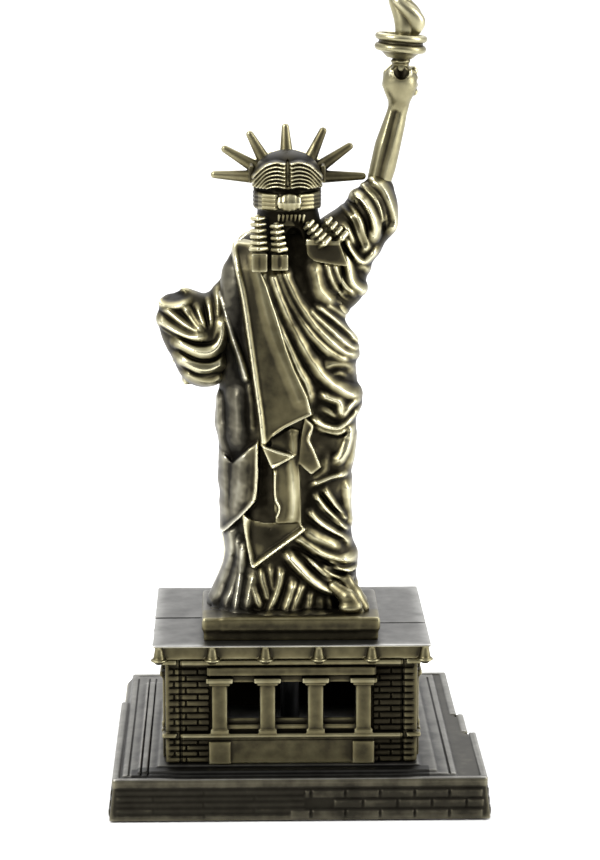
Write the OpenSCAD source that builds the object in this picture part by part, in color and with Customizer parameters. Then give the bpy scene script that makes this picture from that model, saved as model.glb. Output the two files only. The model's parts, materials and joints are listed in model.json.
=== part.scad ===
// Souvenir statuette of a robed torch bearer on a stepped brick base.
// Millimetres, +Z up, origin at the centre of the base's underside.
// The figure faces -Y. Its raised right arm is on the -X side.

/* [Base] */
// Side of the square base at its underside
base_w = 80; // [60:1:120]
// Height of the battered brick slab
base_h = 9.2; // [6:0.2:14]
// How far each side of the slab leans in
batter = 1.1; // [0:0.1:3]
// Wall left around the hollow of the base casting
base_wall = 3.4; // [2:0.2:6]
// Height of one skirting step
step_h = 0.4; // [0.2:0.1:1]
// Depth that a brick stands proud of its joint
brick_proud = 0.25; // [0.1:0.05:0.6]

/* [Pedestal] */
// Outside width of the pedestal
ped_w = 52.4; // [40:0.2:64]
// Outside depth of the pedestal
ped_d = 44.5; // [30:0.5:60]
// Top of the pedestal walls
ped_top = 33; // [25:0.5:45]
// Thickness of a wall panel
panel_t = 2.4; // [1.6:0.1:4]
// Side of a square corner post
post_w = 3; // [2:0.2:5]
// Distance between pilasters
bay = 10; // [8:0.5:12]

/* [Cornice and plinth] */
// Height of the cornice cap
cap_h = 3.5; // [2.5:0.1:6]
// Distance between the little posts under the cornice
stud_pitch = 11.05; // [8:0.05:14]
// Height of the plate that the figure stands on
plinth_h = 4.9; // [3:0.1:8]

/* [Figure] */
// Plane along which the robe casting is split
seam_y = 15; // [13:0.5:17]
// Depth of the folds in the robe
fold_depth = 1; // [0:0.1:1.5]
// Sides of a turned or rounded shape
facets = 18; // [14:2:40]
// Sides of a finger, toe, curl or other small rounded detail
fine = 10; // [8:2:24]

/* [Fixings] */
// Diameter of the tie bolt
bolt_d = 4; // [3:0.5:6]
// Diameter of the underside screws
screw_d = 2.4; // [2:0.1:4]
// Thickness of the bottom plate
plate_t = 1.2; // [0.8:0.1:2]

/* [Hidden] */
$fn = 32;
EPS = 0.3;                             // overlap inside one casting
ped_x = 1.65;                          // the pedestal stands a little to one side
ped_back = 32.5;                       // its rear wall plane
ped_y = ped_back - ped_d / 2;
ped_z = base_h + 3 * step_h;           // top of the skirting steps
ped_h = ped_top - ped_z;
cap_z = ped_top + cap_h;
plinth_z = cap_z + plinth_h;
plinth_step = 7;                       // the plinth is narrower in front of this
bolt_x = 1.7;
bolt_y = 14;
fig_x = 2.1;                           // centre of the head

antique = [0.50, 0.45, 0.30];
dark = [0.30, 0.27, 0.18];
bright = [0.62, 0.57, 0.40];
steel = [0.62, 0.62, 0.62];

// Slab outline at the underside, with the flanks stepped in toward the front.
slab = [[-40, 40], [-40, 7], [-38.3, 7], [-38.3, -6], [-36.8, -6], [-36.8, -40],
        [38.2, -40], [38.2, -17], [40, -17], [40, 40]] * (base_w / 80);

// ---------- helpers ----------

// Solid skinned through rings of equal length, lowest ring first.
module loft(rings) {
    n = len(rings[0]);
    m = len(rings);
    skin = [for (i = [0:m - 2]) for (j = [0:n - 1])
            let (a = i * n + j, b = i * n + (j + 1) % n)
            each [[a, a + n, b + n], [a, b + n, b]]];
    low = [for (j = [0:n - 1]) j];
    high = [for (j = [n - 1:-1:0]) (m - 1) * n + j];
    polyhedron([for (r = rings) each r], concat([low], skin, [high]), convexity = 10);
}

// Row of a table whose first column is z, blended for a height between two rows.
function row_at(t, z) =
    let (i = max([for (k = [0:len(t) - 2]) if (t[k][0] <= z) k]),
         f = (z - t[i][0]) / (t[i + 1][0] - t[i][0]))
    t[i] * (1 - f) + t[i + 1] * f;

// Chain of balls, each joined to the next. A ball is [x, y, z, radius].
module limb(balls, n = facets) {
    for (i = [0:len(balls) - 2])
        hull() {
            ball(balls[i], n);
            ball(balls[i + 1], n);
        }
}

module ball(b, n) {
    translate([b[0], b[1], b[2]]) sphere(b[3], $fn = n);
}

// Courses of bricks in the XY plane, proud along +Z, centred on X.
module bricks(w, rows, pitch, length, gap) {
    translate([0, 0, -EPS]) linear_extrude(EPS + brick_proud)
        intersection() {
            translate([-w / 2, 0]) square([w, rows * pitch]);
            for (r = [0:rows - 1], c = [-ceil(w / length / 2) - 1:ceil(w / length / 2)])
                translate([(c + (r % 2) / 2) * length + gap / 2, r * pitch + gap / 2])
                    square([length - gap, pitch - gap]);
        }
}

// A flat box whose four sides lean in, for a mitred step.
module step_box(x0, x1, y0, y1, z, h, lean) {
    loft([[[x0, y0, z], [x1, y0, z], [x1, y1, z], [x0, y1, z]],
          [[x0 + lean, y0 + lean, z + h], [x1 - lean, y0 + lean, z + h],
           [x1 - lean, y1 - lean, z + h], [x0 + lean, y1 - lean, z + h]]]);
}

// ---------- base ----------

// Slab outline at height z.
function slab_ring(z) =
    let (k = 1 - 2 * batter / base_w * z / base_h)
    [for (p = slab) [p[0] * k, p[1] * k, z]];

// Brick courses on one face of the slab: their width, how far out the face is,
// how far along it they are centred, and the turn about Z that faces them out.
module slab_bricks(w, face, along, turn) {
    lean = atan(batter / base_h);
    rotate(turn) translate([along, 0.1 - face, 0.7]) rotate([90 - lean, 0, 0])
        bricks(w, 3, 2.05, 7.2, 0.5);
}

screw_spots = [for (x = [-30, 31], y = [-32, 33]) [x, y]];

module base_casting() {
    color(dark)
    difference() {
        union() {
            loft([slab_ring(0), slab_ring(base_h)]);
            slab_bricks(77, base_w / 2, 0, 180);
            slab_bricks(73, base_w / 2, -0.7, 0);
            slab_bricks(54.6, base_w / 2, 11.2, 90);
            slab_bricks(20.6, 38.2, -28.4, 90);
            slab_bricks(30.6, base_w / 2, -23.2, -90);
            slab_bricks(10.6, 38.3, -0.6, -90);
            slab_bricks(31.6, 36.8, 22.8, -90);
            step_box(-32.7, 37, -36, 38.9, base_h - EPS, step_h + EPS, 0.3);
            step_box(-29.2, 34.2, -30, 37.1, base_h, 2 * step_h, 0.3);
            step_box(-25.9, 30.6, -15, 34.6, base_h, 3 * step_h, 0.3);
        }
        difference() {
            translate([-36.8 + base_wall, -40 + base_wall, -1])
                cube([75 - 2 * base_wall, 80 - 2 * base_wall, base_h - 1]);
            for (s = screw_spots)
                translate([s[0], s[1], plate_t]) cylinder(r = 3, h = base_h);
        }
        translate([-36.8 + base_wall - 1, -40 + base_wall - 1, -1])
            cube([77 - 2 * base_wall, 82 - 2 * base_wall, 1 + plate_t]);
        for (s = screw_spots)
            translate([s[0], s[1], 0]) cylinder(d = screw_d, h = base_h - 2.2);
        translate([bolt_x, bolt_y, 0]) cylinder(d = bolt_d + 0.4, h = 20);
    }
}

module bottom_plate() {
    color(steel)
    difference() {
        translate([-36.8 + base_wall - 0.8, -40 + base_wall - 0.8, 0])
            cube([76.6 - 2 * base_wall, 81.6 - 2 * base_wall, plate_t]);
        for (s = screw_spots)
            translate([s[0], s[1], 0]) screw_shape(plate_t + 1);
    }
}

// Countersunk screw, head flush with z = 0 and thread upward.
module screw_shape(h) {
    cylinder(d1 = 2 * screw_d, d2 = screw_d, h = plate_t);
    cylinder(d = screw_d, h = h);
}

module bottom_screws() {
    color(steel)
    for (s = screw_spots)
        translate([s[0], s[1], 0]) difference() {
            screw_shape(6);
            translate([-0.3, -1.8, -1]) cube([0.6, 3.6, 1.5]);
        }
}

washer_z = base_h - 2.1 - 1;           // under the roof of the base casting

module tie_washer() {
    color(steel)
    translate([bolt_x, bolt_y, washer_z]) difference() {
        cylinder(d = 11, h = 1);
        translate([0, 0, -1]) cylinder(d = bolt_d + 0.2, h = 3);
    }
}

module tie_bolt() {
    color(steel)
    translate([bolt_x, bolt_y, 0]) {
        translate([0, 0, washer_z - 2.8]) cylinder(d = 7.6, h = 2.8, $fn = 6);
        translate([0, 0, washer_z - 1]) cylinder(d = bolt_d, h = cap_z + 3.4 - washer_z + 1);
    }
}

// ---------- pedestal ----------

// One pedestal wall, standing in XZ with its outside toward -Y, centred on X.
module panel(w, cells) {
    edge = cells / 2 * bay;
    union() {
        difference() {
            translate([-w / 2, 0, ped_z]) cube([w, panel_t, ped_h]);
            for (i = [0:cells - 1])
                translate([(i + 0.5) * bay - edge - 3.35, -1, 18.6])
                    cube([6.7, panel_t + 2, 9.2]);
        }
        translate([-w / 2, -1, 16.2]) cube([w, 1 + EPS, 1]);
        translate([-w / 2, -1, 32]) cube([w, 1 + EPS, ped_top - 32]);
        translate([-edge - 2.6, -1.1, 29.6]) cube([2 * edge + 5.2, 1.1 + EPS, 1.9]);
        translate([-edge - 2.2, -0.35, 10.4]) cube([2 * edge + 4.4, 0.35 + EPS, 5.8]);
        translate([-edge, -0.5, 18]) cube([2 * edge, 0.5 + EPS, 0.8]);
        for (i = [0:cells]) {
            translate([i * bay - edge - 1.6, -0.8, 17.2]) cube([3.2, 0.8 + EPS, 12.4]);
            translate([i * bay - edge - 2.8, -1.3, 28]) cube([5.6, 1.3 + EPS, 1.2]);
        }
        for (s = [-1, 1]) {
            translate([s * edge - 2.2, -0.9, 10.4]) cube([4.4, 0.9 + EPS, 4.9]);
            panel_bricks(s, w / 2, edge);
        }
    }
}

// Bricks in the outer bay on side s of a panel.
module panel_bricks(s, half, edge) {
    w = half - edge - 1.9;
    if (w > 1)
        for (z = [10.55, 17.4])
            translate([s * (half - w / 2 - 0.2), 0, z]) rotate([90, 0, 0])
                bricks(w, z < 12 ? 4 : 10, 1.37, 4.9, 0.35);
}

module rear_panel() {
    color(antique) translate([ped_x, ped_back, 0]) rotate(180) panel(ped_w - 2 * post_w, 3);
}

module front_panel() {
    color(antique) translate([ped_x, ped_back - ped_d, 0]) panel(ped_w - 2 * post_w, 3);
}

module left_panel() {
    color(antique) translate([ped_x + ped_w / 2, ped_y, 0]) rotate(90)
        panel(ped_d - 2 * post_w, 3);
}

module right_panel() {
    color(antique) translate([ped_x - ped_w / 2, ped_y, 0]) rotate(-90)
        panel(ped_d - 2 * post_w, 3);
}

module corner_posts() {
    color(bright)
    for (sx = [-1, 1], sy = [-1, 1])
        translate([ped_x + sx * (ped_w - post_w) / 2, ped_y + sy * (ped_d - post_w) / 2, ped_z]) {
            translate([-post_w / 2, -post_w / 2, 0]) cube([post_w, post_w, ped_h]);
            translate([sx * 0.9, sy * 0.9, 0]) cylinder(r = 0.9, h = ped_h);
            translate([-1.5 + sx * 0.6, -1.5 + sy * 0.6, 16.2 - ped_z]) cube([3, 3, 1]);
        }
}

// ---------- cornice cap and plinth ----------

cap_x = 1.55;
cap_w = 57.9;
cap_back = 34.5;
cap_d = 48.5;

// Little tapering post with a flared foot.
module stud() {
    translate([0, 0, ped_top]) cylinder(r1 = 1.35, r2 = 1, h = 2.6);
    translate([0, 0, ped_top]) cylinder(r1 = 1.9, r2 = 1.5, h = 0.5);
}

module cornice_cap() {
    color(antique)
    difference() {
        union() {
            translate([cap_x - 27, cap_back - cap_d + 1.9, ped_top])
                cube([54, cap_d - 3.8, 2.6]);
            translate([cap_x - 28, cap_back - cap_d + 1, ped_top + 1.7])
                cube([56, cap_d - 2, 0.8]);
            translate([cap_x - cap_w / 2, cap_back - cap_d, ped_top + 2.4])
                cube([cap_w, cap_d, cap_h - 2.4]);
            for (i = [-2.5:2.5], y = [cap_back - 1.4, cap_back - cap_d + 1.4])
                translate([cap_x + i * stud_pitch, y, 0]) stud();
            for (i = [-1:1], s = [-1, 1])
                translate([cap_x + s * 2.5 * stud_pitch, ped_y + i * stud_pitch, 0]) stud();
        }
        translate([bolt_x, bolt_y, ped_top - 1]) cylinder(d = bolt_d + 0.4, h = cap_h + 2);
        translate([cap_x - 40, 17, cap_z - 0.3]) cube([22, 0.4, 1]);
        translate([cap_x + 21.5, 12, cap_z - 0.3]) cube([20, 0.4, 1]);
    }
}

// Plate between two heights, set in all round. Its front half is narrower, under the skirt.
module plinth_block(inset, low, high) {
    translate([0, 0, cap_z + low]) linear_extrude(high - low) offset(delta = -inset) {
        translate([-16.8, plinth_step]) square([37, 31 - plinth_step]);
        translate([-12.6, -3]) square([28.8, 20]);
    }
}

module figure_plinth() {
    color(antique)
    difference() {
        union() {
            plinth_block(1.0, 0, plinth_h - 1);
            plinth_block(0, 2.8, plinth_h - 0.4);
            plinth_block(0.5, 3, plinth_h);
        }
        translate([bolt_x, bolt_y, cap_z - 1]) cylinder(d = bolt_d, h = 4.4);
    }
}

// ---------- robe ----------

// Rows of height, low x, high x, depth behind the seam and depth before it.
robe = [[41.4, -15.6, 19.2, 13.4, 14.2], [45, -14.4, 17.4, 12.4, 13.2],
        [50, -13.2, 15.4, 11.6, 12.6], [58, -12.8, 16.2, 11.0, 12.0],
        [67, -12.6, 17.2, 10.6, 11.4], [76, -13.4, 17.6, 10.2, 11.0],
        [85, -14.2, 17.6, 10.0, 10.6], [92, -14.0, 17.2, 9.8, 10.2],
        [97, -12.2, 16.6, 9.4, 10.0], [100, -10.8, 16.4, 9.2, 10.0],
        [105, -9.6, 16.4, 9.0, 10.4], [111, -10.5, 16.0, 8.8, 10.4],
        [115, -11.5, 14.6, 8.2, 9.2], [118, -10.8, 12.8, 7.2, 8.0],
        [120.5, -8.0, 9.8, 5.8, 6.4], [122, -3.4, 7.6, 4.2, 4.8]];
robe_top = 122;

// Folds as lines from [x, z] to [x, z], with width and height.
back_folds = [[14, 41, 14, 80, 1.8, 1.2], [10.2, 41, 10.8, 78, 1.6, 1.1],
              [6, 41, 7.5, 62, 1.9, 1.2], [1, 41, 4, 66, 1.8, 1.4],
              [-4, 41, -2, 68, 1.9, 1.2], [-13, 50, -2, 66, 1.9, 1.2],
              [-14, 60, -3, 78, 2, 1.4], [-15, 70, -3, 96, 2, 1.4],
              [-15, 82, 0, 112, 2, 1.4], [-12, 92, 3, 118, 1.8, 1.2],
              [-8, 41, -9, 52, 1.8, 1]];
front_folds = [[14, 41, 12, 92, 2, 1.3], [9, 41, 8, 84, 1.9, 1.3],
               [4, 41, 5, 80, 1.9, 1.2], [-1, 41, 2, 76, 1.9, 1.4],
               [-6, 41, -2, 70, 2, 1.3], [-11, 41, -6, 64, 2, 1.2],
               [-13, 66, 6, 84, 2.2, 1.5], [-14, 76, 8, 92, 2.2, 1.5],
               [-13, 86, 10, 102, 2, 1.4], [-9, 96, 11, 112, 2, 1.3]];

// Height of the folds at a place on the robe.
function relief(folds, x, z) =
    let (h = [for (f = folds)
              let (u = (z - f[1]) / (f[3] - f[1]),
                   d = (x - f[0] - (f[2] - f[0]) * u) / f[4],
                   fade = max(0, min(1, 4 * (u + 0.1), 4 * (1.1 - u))))
              f[5] * fade * exp(-d * d)])
    fold_depth * max(h);

// Half ring of the robe at height z. side is 1 behind the seam and -1 before it.
function half_ring(z, side) =
    let (r = row_at(robe, z), cx = (r[1] + r[2]) / 2, a = (r[2] - r[1]) / 2,
         b = side > 0 ? r[3] : r[4], folds = side > 0 ? back_folds : front_folds,
         n = 30)
    [for (i = [0:n])
     let (t = i * 180 / n, c = cos(t), s = sin(t), x = cx + side * a * c,
          fade = min(1, 3 * s), h = relief(folds, x, z) * fade - 0.4 * fade)
     [cx + side * (a + h) * c, seam_y + side * (b + h) * s, z]];

robe_levels = concat([for (z = [41.4:2.4:119.5]) z], [120.5, robe_top - 0.01]);

module robe_back() {
    color(antique) loft([for (z = robe_levels) half_ring(z, 1)]);
}

module robe_front() {
    color(antique) loft([for (z = robe_levels) half_ring(z, -1)]);
}

module robe_both() {
    robe_back();
    robe_front();
}

// Long flat panel hanging down the back, and the zigzag tail below it.
module back_drape() {
    spots = [[14, 118, 7.8, 118], [13.2, 112, 6.6, 113], [12.4, 104, 3.8, 104],
             [11.2, 95, 1.2, 95], [10, 86, -1.2, 87], [8.4, 78.4, -2.6, 83.5]];
    tail = [[8.2, 78, 2, 80], [4.5, 72.5, -1.5, 74], [6.5, 66, 1, 68],
            [13, 60, 1.2, 61], [11, 52, 4, 56]];
    color(bright)
    difference() {
        for (set = [spots, tail], i = [0:len(set) - 2])
            hull() {
                for (p = [set[i], set[i + 1]]) {
                    drape_spot(p[0], p[1]);
                    drape_spot(p[2], p[3]);
                }
            }
        robe_back();
    }
}

// A small ball sunk halfway into the back of the robe.
module drape_spot(x, z) {
    r = row_at(robe, min(z, robe_top - 0.1));
    a = (r[2] - r[1]) / 2;
    u = min(1, abs(x - (r[1] + r[2]) / 2) / a);
    translate([x, seam_y + r[3] * sqrt(1 - u * u) + 0.7, z]) sphere(1.1, $fn = fine);
}

// ---------- arms ----------

module left_sleeve() {
    color(antique)
    difference() {
        union() {
            limb([[13.8, 14, 110.6, 3.2], [16, 14, 104.5, 4.2], [19.2, 13.8, 97.5, 5.6],
                  [20.2, 13.4, 91.6, 5.0]]);
            limb([[20.2, 13.4, 93, 5.2], [23.6, 12, 99, 4.8], [26.4, 10.6, 101.8, 3.3]]);
            limb([[18.5, 13.5, 102, 4.6], [22.6, 12, 103.6, 4.2], [25.6, 10, 103.2, 3.4],
                  [24.6, 5.6, 101.4, 3.3]]);
        }
        robe_both();
    }
}

module left_forearm_shape() {
    limb([[24.8, 6, 101, 2.7], [23.8, 3, 98.4, 2.3], [22, 1.2, 94.6, 2.1]]);
    for (i = [0:3])
        limb([[22.6, 1.4, 96 - i * 1.8, 1], [25.2, -0.4, 95.4 - i * 1.8, 0.95],
              [25, -3.6, 95 - i * 1.8, 0.85]], fine);
}

module left_hand() {
    color(bright)
    difference() {
        left_forearm_shape();
        left_sleeve();
        robe_front();
        tablet_shape();
    }
}

module tablet_shape() {
    translate([18.2, -2.2, 93.8]) rotate([-8, 0, 12]) {
        translate([-6.2, -1.4, -9]) cube([12.4, 2.8, 18]);
        translate([-5.2, -1.8, -8]) cube([10.4, 0.6, 16]);
    }
}

module tablet() {
    color(antique)
    difference() {
        tablet_shape();
        robe_front();
        left_sleeve();
    }
}

module right_sleeve() {
    color(antique)
    difference() {
        union() {
            limb([[-4.5, 14.5, 116, 6.2], [-9.4, 13.4, 119.4, 5.5], [-14.2, 12.4, 122.8, 5.2],
                  [-16.9, 11.2, 126, 4.4], [-17.4, 10.7, 128.4, 3.1]]);
            limb([[-10.8, 14, 114, 4.8], [-14.6, 13.4, 116.4, 4.6], [-17.4, 12.4, 120.6, 3.8],
                  [-17.4, 11.4, 125, 3.9]]);
            limb([[-7.2, 14.6, 103.6, 4.6], [-10.6, 14.4, 108.4, 4.6],
                  [-13.4, 14, 113.4, 4.4]]);
        }
        robe_both();
    }
}

module right_arm_shape() {
    limb([[-16.6, 10.8, 127.5, 2.3], [-17.8, 10.5, 132.5, 2.5], [-18.6, 10.4, 137, 2.8],
          [-20.1, 10.3, 142, 2.5], [-21.1, 10.2, 146, 2]]);
    limb([[-21.1, 10.2, 146, 2], [-21.3, 10.2, 150.4, 3.3], [-21.3, 10.2, 152.4, 3.1]]);
    for (i = [0:3])
        limb([[-24.2, 8.6, 153 - i * 1.3, 0.85], [-22.4, 6.6, 153 - i * 1.3, 0.95],
              [-19.6, 6.8, 153 - i * 1.3, 0.85]], fine);
}

module right_arm() {
    color(bright)
    difference() {
        right_arm_shape();
        right_sleeve();
        torch_handle();
    }
}

// ---------- torch ----------

torch_x = -21.9;
torch_y = 10.2;

module torch_handle() {
    translate([torch_x, torch_y, 148]) rotate([0, 2, 0])
        cylinder(r1 = 1, r2 = 1.7, h = 9.4, $fn = facets);
}

module torch() {
    color(bright) {
        torch_handle();
        translate([torch_x, torch_y, 156.4]) rotate([0, -8, 0])
            rotate_extrude($fn = 36)
                polygon([[0, -0.6], [1.9, -0.6], [1.9, 0.6], [3.6, 1.6], [5, 2], [5.3, 2.5],
                         [5.3, 3.1], [4.8, 3.5], [4.8, 4.2], [5.3, 4.6], [5.3, 5.2],
                         [4.9, 5.7], [0, 5.7]]);
    }
}

// Twisting flame, narrower toward its tip.
module flame() {
    base = [torch_x - 0.5, torch_y, 162.1];
    levels = 9;
    color(bright)
    difference() {
        loft([for (i = [0:levels])
              let (u = i / levels, r = 3.3 * sin(40 + 134 * u) + 0.12,
                   sway = 0.2 - 1.5 * sin(190 * u) + 2.2 * u)
              [for (j = [0:17])
               let (t = j * 20, k = r * (1 + 0.16 * cos(3 * t + 160 * u)))
               [base[0] + sway + k * cos(t), base[1] + 0.8 * k * sin(t),
                base[2] - 0.8 + 9.7 * u]]]);
        torch();
    }
}

// ---------- head ----------

// Smooth egg with half sizes r.
module egg(at, r, n = 24) {
    translate(at) scale(r) sphere(1, $fn = n);
}

module head_shape() {
    hull() {
        egg([fig_x, 13.6, 131], [6.4, 6.9, 6.2]);
        egg([fig_x, 9.6, 124.6], [3.4, 3.2, 2.8]);
    }
    limb([[fig_x, 14.4, 120.6, 3.9], [fig_x, 13.6, 127, 3.9]]);
    limb([[fig_x, 7.1, 130.6, 0.55], [fig_x, 6.1, 127.8, 0.85]], fine);
    for (s = [-1, 1]) {
        limb([[fig_x + s * 0.9, 7.3, 130.7, 0.5], [fig_x + s * 3.6, 8.4, 130.7, 0.5]], fine);
        limb([[fig_x + s * 1.6, 7.9, 129.4, 0.6], [fig_x + s * 2.9, 8.3, 129.4, 0.6]], fine);
        limb([[fig_x, 6.7, 125.8, 0.5], [fig_x + s * 1.4, 7.1, 125.8, 0.35]], fine);
        limb([[fig_x, 6.9, 125.1, 0.5], [fig_x + s * 1.2, 7.2, 125.1, 0.35]], fine);
    }
}

module head() {
    color(bright)
    difference() {
        head_shape();
        robe_both();
    }
}

module hair_shape() {
    difference() {
        union() {
            egg([fig_x, 14.6, 131], [7.6, 7.6, 7.2], 28);
            limb([[fig_x - 5.4, 14.6, 126.8, 2], [fig_x, 19.6, 126.6, 2.2],
                  [fig_x + 5.4, 14.6, 126.8, 2]]);
            limb([[fig_x - 1.6, 21.4, 127, 1.7], [fig_x + 1.6, 21.4, 127, 1.7]], fine);
            for (s = [-1, 1], i = [0:4])
                limb([[fig_x + s * 0.7, 19.4 - i * 0.4, 130.4 + i * 1.3, 2.2 - 0.1 * i],
                      [fig_x + s * 5.4, 16.4 - i * 0.6, 130 + i * 0.9, 1.9 - 0.1 * i]], fine);
        }
        translate([fig_x - 10, 0, 115]) cube([20, 10.6, 30]);
    }
}

module hair() {
    color(antique)
    difference() {
        hair_shape();
        head_shape();
        robe_both();
    }
}

// Ringlets that hang behind the neck, as stacks of small coils.
module ringlets() {
    stacks = [[7.6, 17.6, 0], [3.6, 20.4, 0], [-3.2, 20.2, -14], [-6.6, 18, -22]];
    color(antique)
    difference() {
        for (s = stacks)
            translate([s[0], s[1], 125]) rotate([8, s[2] * 0.6, 0])
                for (i = [0:5])
                    translate([0, 0, -i * 1.35]) hull() {
                        translate([-0.8, 0, 0]) sphere(1, $fn = fine);
                        translate([0.8, 0, 0.2]) sphere(1, $fn = fine);
                    }
        hair_shape();
        head_shape();
        robe_both();
        right_sleeve();
    }
}

module diadem_shape() {
    translate([fig_x, 13.2, 131.8]) rotate([-14, 0, 0]) difference() {
        scale([7.9, 7.9, 1]) cylinder(r = 1, h = 3.2, center = true);
        translate([-10, 1.5, -5]) cube([20, 20, 10]);
    }
}

module diadem() {
    color(bright)
    difference() {
        diadem_shape();
        head_shape();
        hair_shape();
    }
}

// Rays as [tip x, tip z, root x, root z].
ray_set = [[2.4, 142, 2.2, 136.4], [10, 140.2, 7, 134.8], [15.2, 137, 8.6, 133],
           [17.3, 131.6, 9.2, 131.2], [-5.4, 140.8, -2.6, 134.8], [-11, 137.4, -4.6, 133],
           [-13.6, 131.2, -5, 131.2]];

module rays() {
    color(bright)
    difference() {
        for (r = ray_set) {
            y = 11.6 - 0.12 * (r[3] - 131);
            limb([[r[2], y, r[3], 1.05], [r[0], y - 0.6, r[1], 0.55]], fine);
        }
        diadem_shape();
        head_shape();
        hair_shape();
        right_sleeve();
    }
}

// ---------- feet ----------

module heel() {
    color(bright)
    difference() {
        union() {
            limb([[-10.6, 27.6, 43.3, 1.9], [-9.2, 26.2, 45.6, 1.9], [-8.4, 24, 47, 1.8]]);
            translate([-12.6, 24, plinth_z]) cube([4.2, 5.4, 1]);
            for (i = [0:5]) limb([[-12.2 + i * 0.7, 29, 42.2, 0.5],
                                  [-11.8 + i * 0.5, 27, 45, 0.5]], fine);
        }
        robe_both();
        translate([-40, -40, plinth_z - 20]) cube([80, 80, 20]);
    }
}

module toes() {
    color(bright)
    difference() {
        for (i = [0:4]) {
            limb([[7.2 + i * 1.2, 1.6 + i * 0.35, 42.4, 0.95 - i * 0.08],
                  [7.2 + i * 1.1, 5, 42.8, 1.2]], fine);
            limb([[7 + i * 1.2, 3, 42.2, 0.8], [7 + i * 1.1, 6, 43, 1.2]], fine);
        }
        robe_both();
        translate([-40, -40, plinth_z - 20]) cube([80, 80, 20]);
    }
}

base_casting();
bottom_plate();
bottom_screws();
tie_bolt();
tie_washer();
rear_panel();
front_panel();
left_panel();
right_panel();
corner_posts();
cornice_cap();
figure_plinth();
robe_back();
robe_front();
back_drape();
left_sleeve();
left_hand();
tablet();
right_sleeve();
right_arm();
head();
hair();
ringlets();
diadem();
rays();
torch();
flame();
heel();
toes();
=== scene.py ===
"""Antique brass statuette of a robed torch bearer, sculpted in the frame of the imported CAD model.

All sculpting is in millimetres: signed distances on a grid, meshed, then scaled to metres.
X is to the figure's left, Y to its back and Z up, as in the CAD source.
"""

import copy
import json
import math

import bpy
import numpy as np
import openvdb
from mathutils import Matrix, Vector

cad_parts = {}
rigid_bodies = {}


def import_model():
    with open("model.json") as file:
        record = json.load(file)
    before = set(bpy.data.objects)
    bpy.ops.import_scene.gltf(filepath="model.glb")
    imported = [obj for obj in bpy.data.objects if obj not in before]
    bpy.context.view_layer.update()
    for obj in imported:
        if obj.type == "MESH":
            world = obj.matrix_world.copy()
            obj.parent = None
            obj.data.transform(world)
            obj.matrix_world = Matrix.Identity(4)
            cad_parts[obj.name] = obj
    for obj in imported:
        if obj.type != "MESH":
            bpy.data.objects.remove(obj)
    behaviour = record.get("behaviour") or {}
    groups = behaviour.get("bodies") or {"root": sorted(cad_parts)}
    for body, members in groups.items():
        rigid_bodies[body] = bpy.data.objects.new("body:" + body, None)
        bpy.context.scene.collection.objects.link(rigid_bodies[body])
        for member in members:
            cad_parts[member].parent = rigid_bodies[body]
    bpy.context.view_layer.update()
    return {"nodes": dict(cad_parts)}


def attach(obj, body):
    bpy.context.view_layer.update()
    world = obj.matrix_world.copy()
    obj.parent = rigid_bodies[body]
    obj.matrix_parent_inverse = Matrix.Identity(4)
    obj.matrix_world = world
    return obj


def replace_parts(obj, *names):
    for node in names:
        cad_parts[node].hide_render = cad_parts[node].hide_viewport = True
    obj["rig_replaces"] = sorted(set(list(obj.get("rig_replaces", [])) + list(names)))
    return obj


MM = 0.001
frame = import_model()
COARSE = 1.0    # quick tries use larger cells

# Wear of the finish with painted light in it, from 0 (black) to 1 (rubbed): a middle value, and what
# hollows and crests add or take away: patina and rubbing at a fine scale, and at a broad scale painted
# shade in wide hollows and painted highlight on swellings.
MIDDLE_WEAR = 0.42
FINE_MM, FINE_GAIN = 0.4, 1.15
BROAD_SHADE_MM, BROAD_SHADE_GAIN = 1.1, 0.45

# ---------------------------------------------------------------- sculpting tools


def blurred(d, sigma):
    """A grid smoothed by a Gaussian of sigma cells."""
    n = max(1, int(round(2.5 * sigma)))
    k = np.exp(-0.5 * (np.arange(-n, n + 1) / sigma) ** 2)
    k = (k / k.sum()).astype(np.float32)
    for axis in range(3):
        pad = [(0, 0)] * 3
        pad[axis] = (n, n)
        p = np.pad(d, pad, mode="edge")
        out = np.zeros_like(d)
        for i, w in enumerate(k):
            cut = [slice(None)] * 3
            cut[axis] = slice(i, i + d.shape[axis])
            out += w * p[tuple(cut)]
        d = out
    return d


def smooth_min(a, b, k):
    if k <= 0:
        return np.minimum(a, b)
    m = np.maximum(k - np.abs(a - b), 0) / k
    return np.minimum(a, b) - m * m * k / 4


def step(x, lo, hi):
    t = np.clip((x - lo) / (hi - lo), 0, 1)
    return t * t * (3 - 2 * t)


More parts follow.
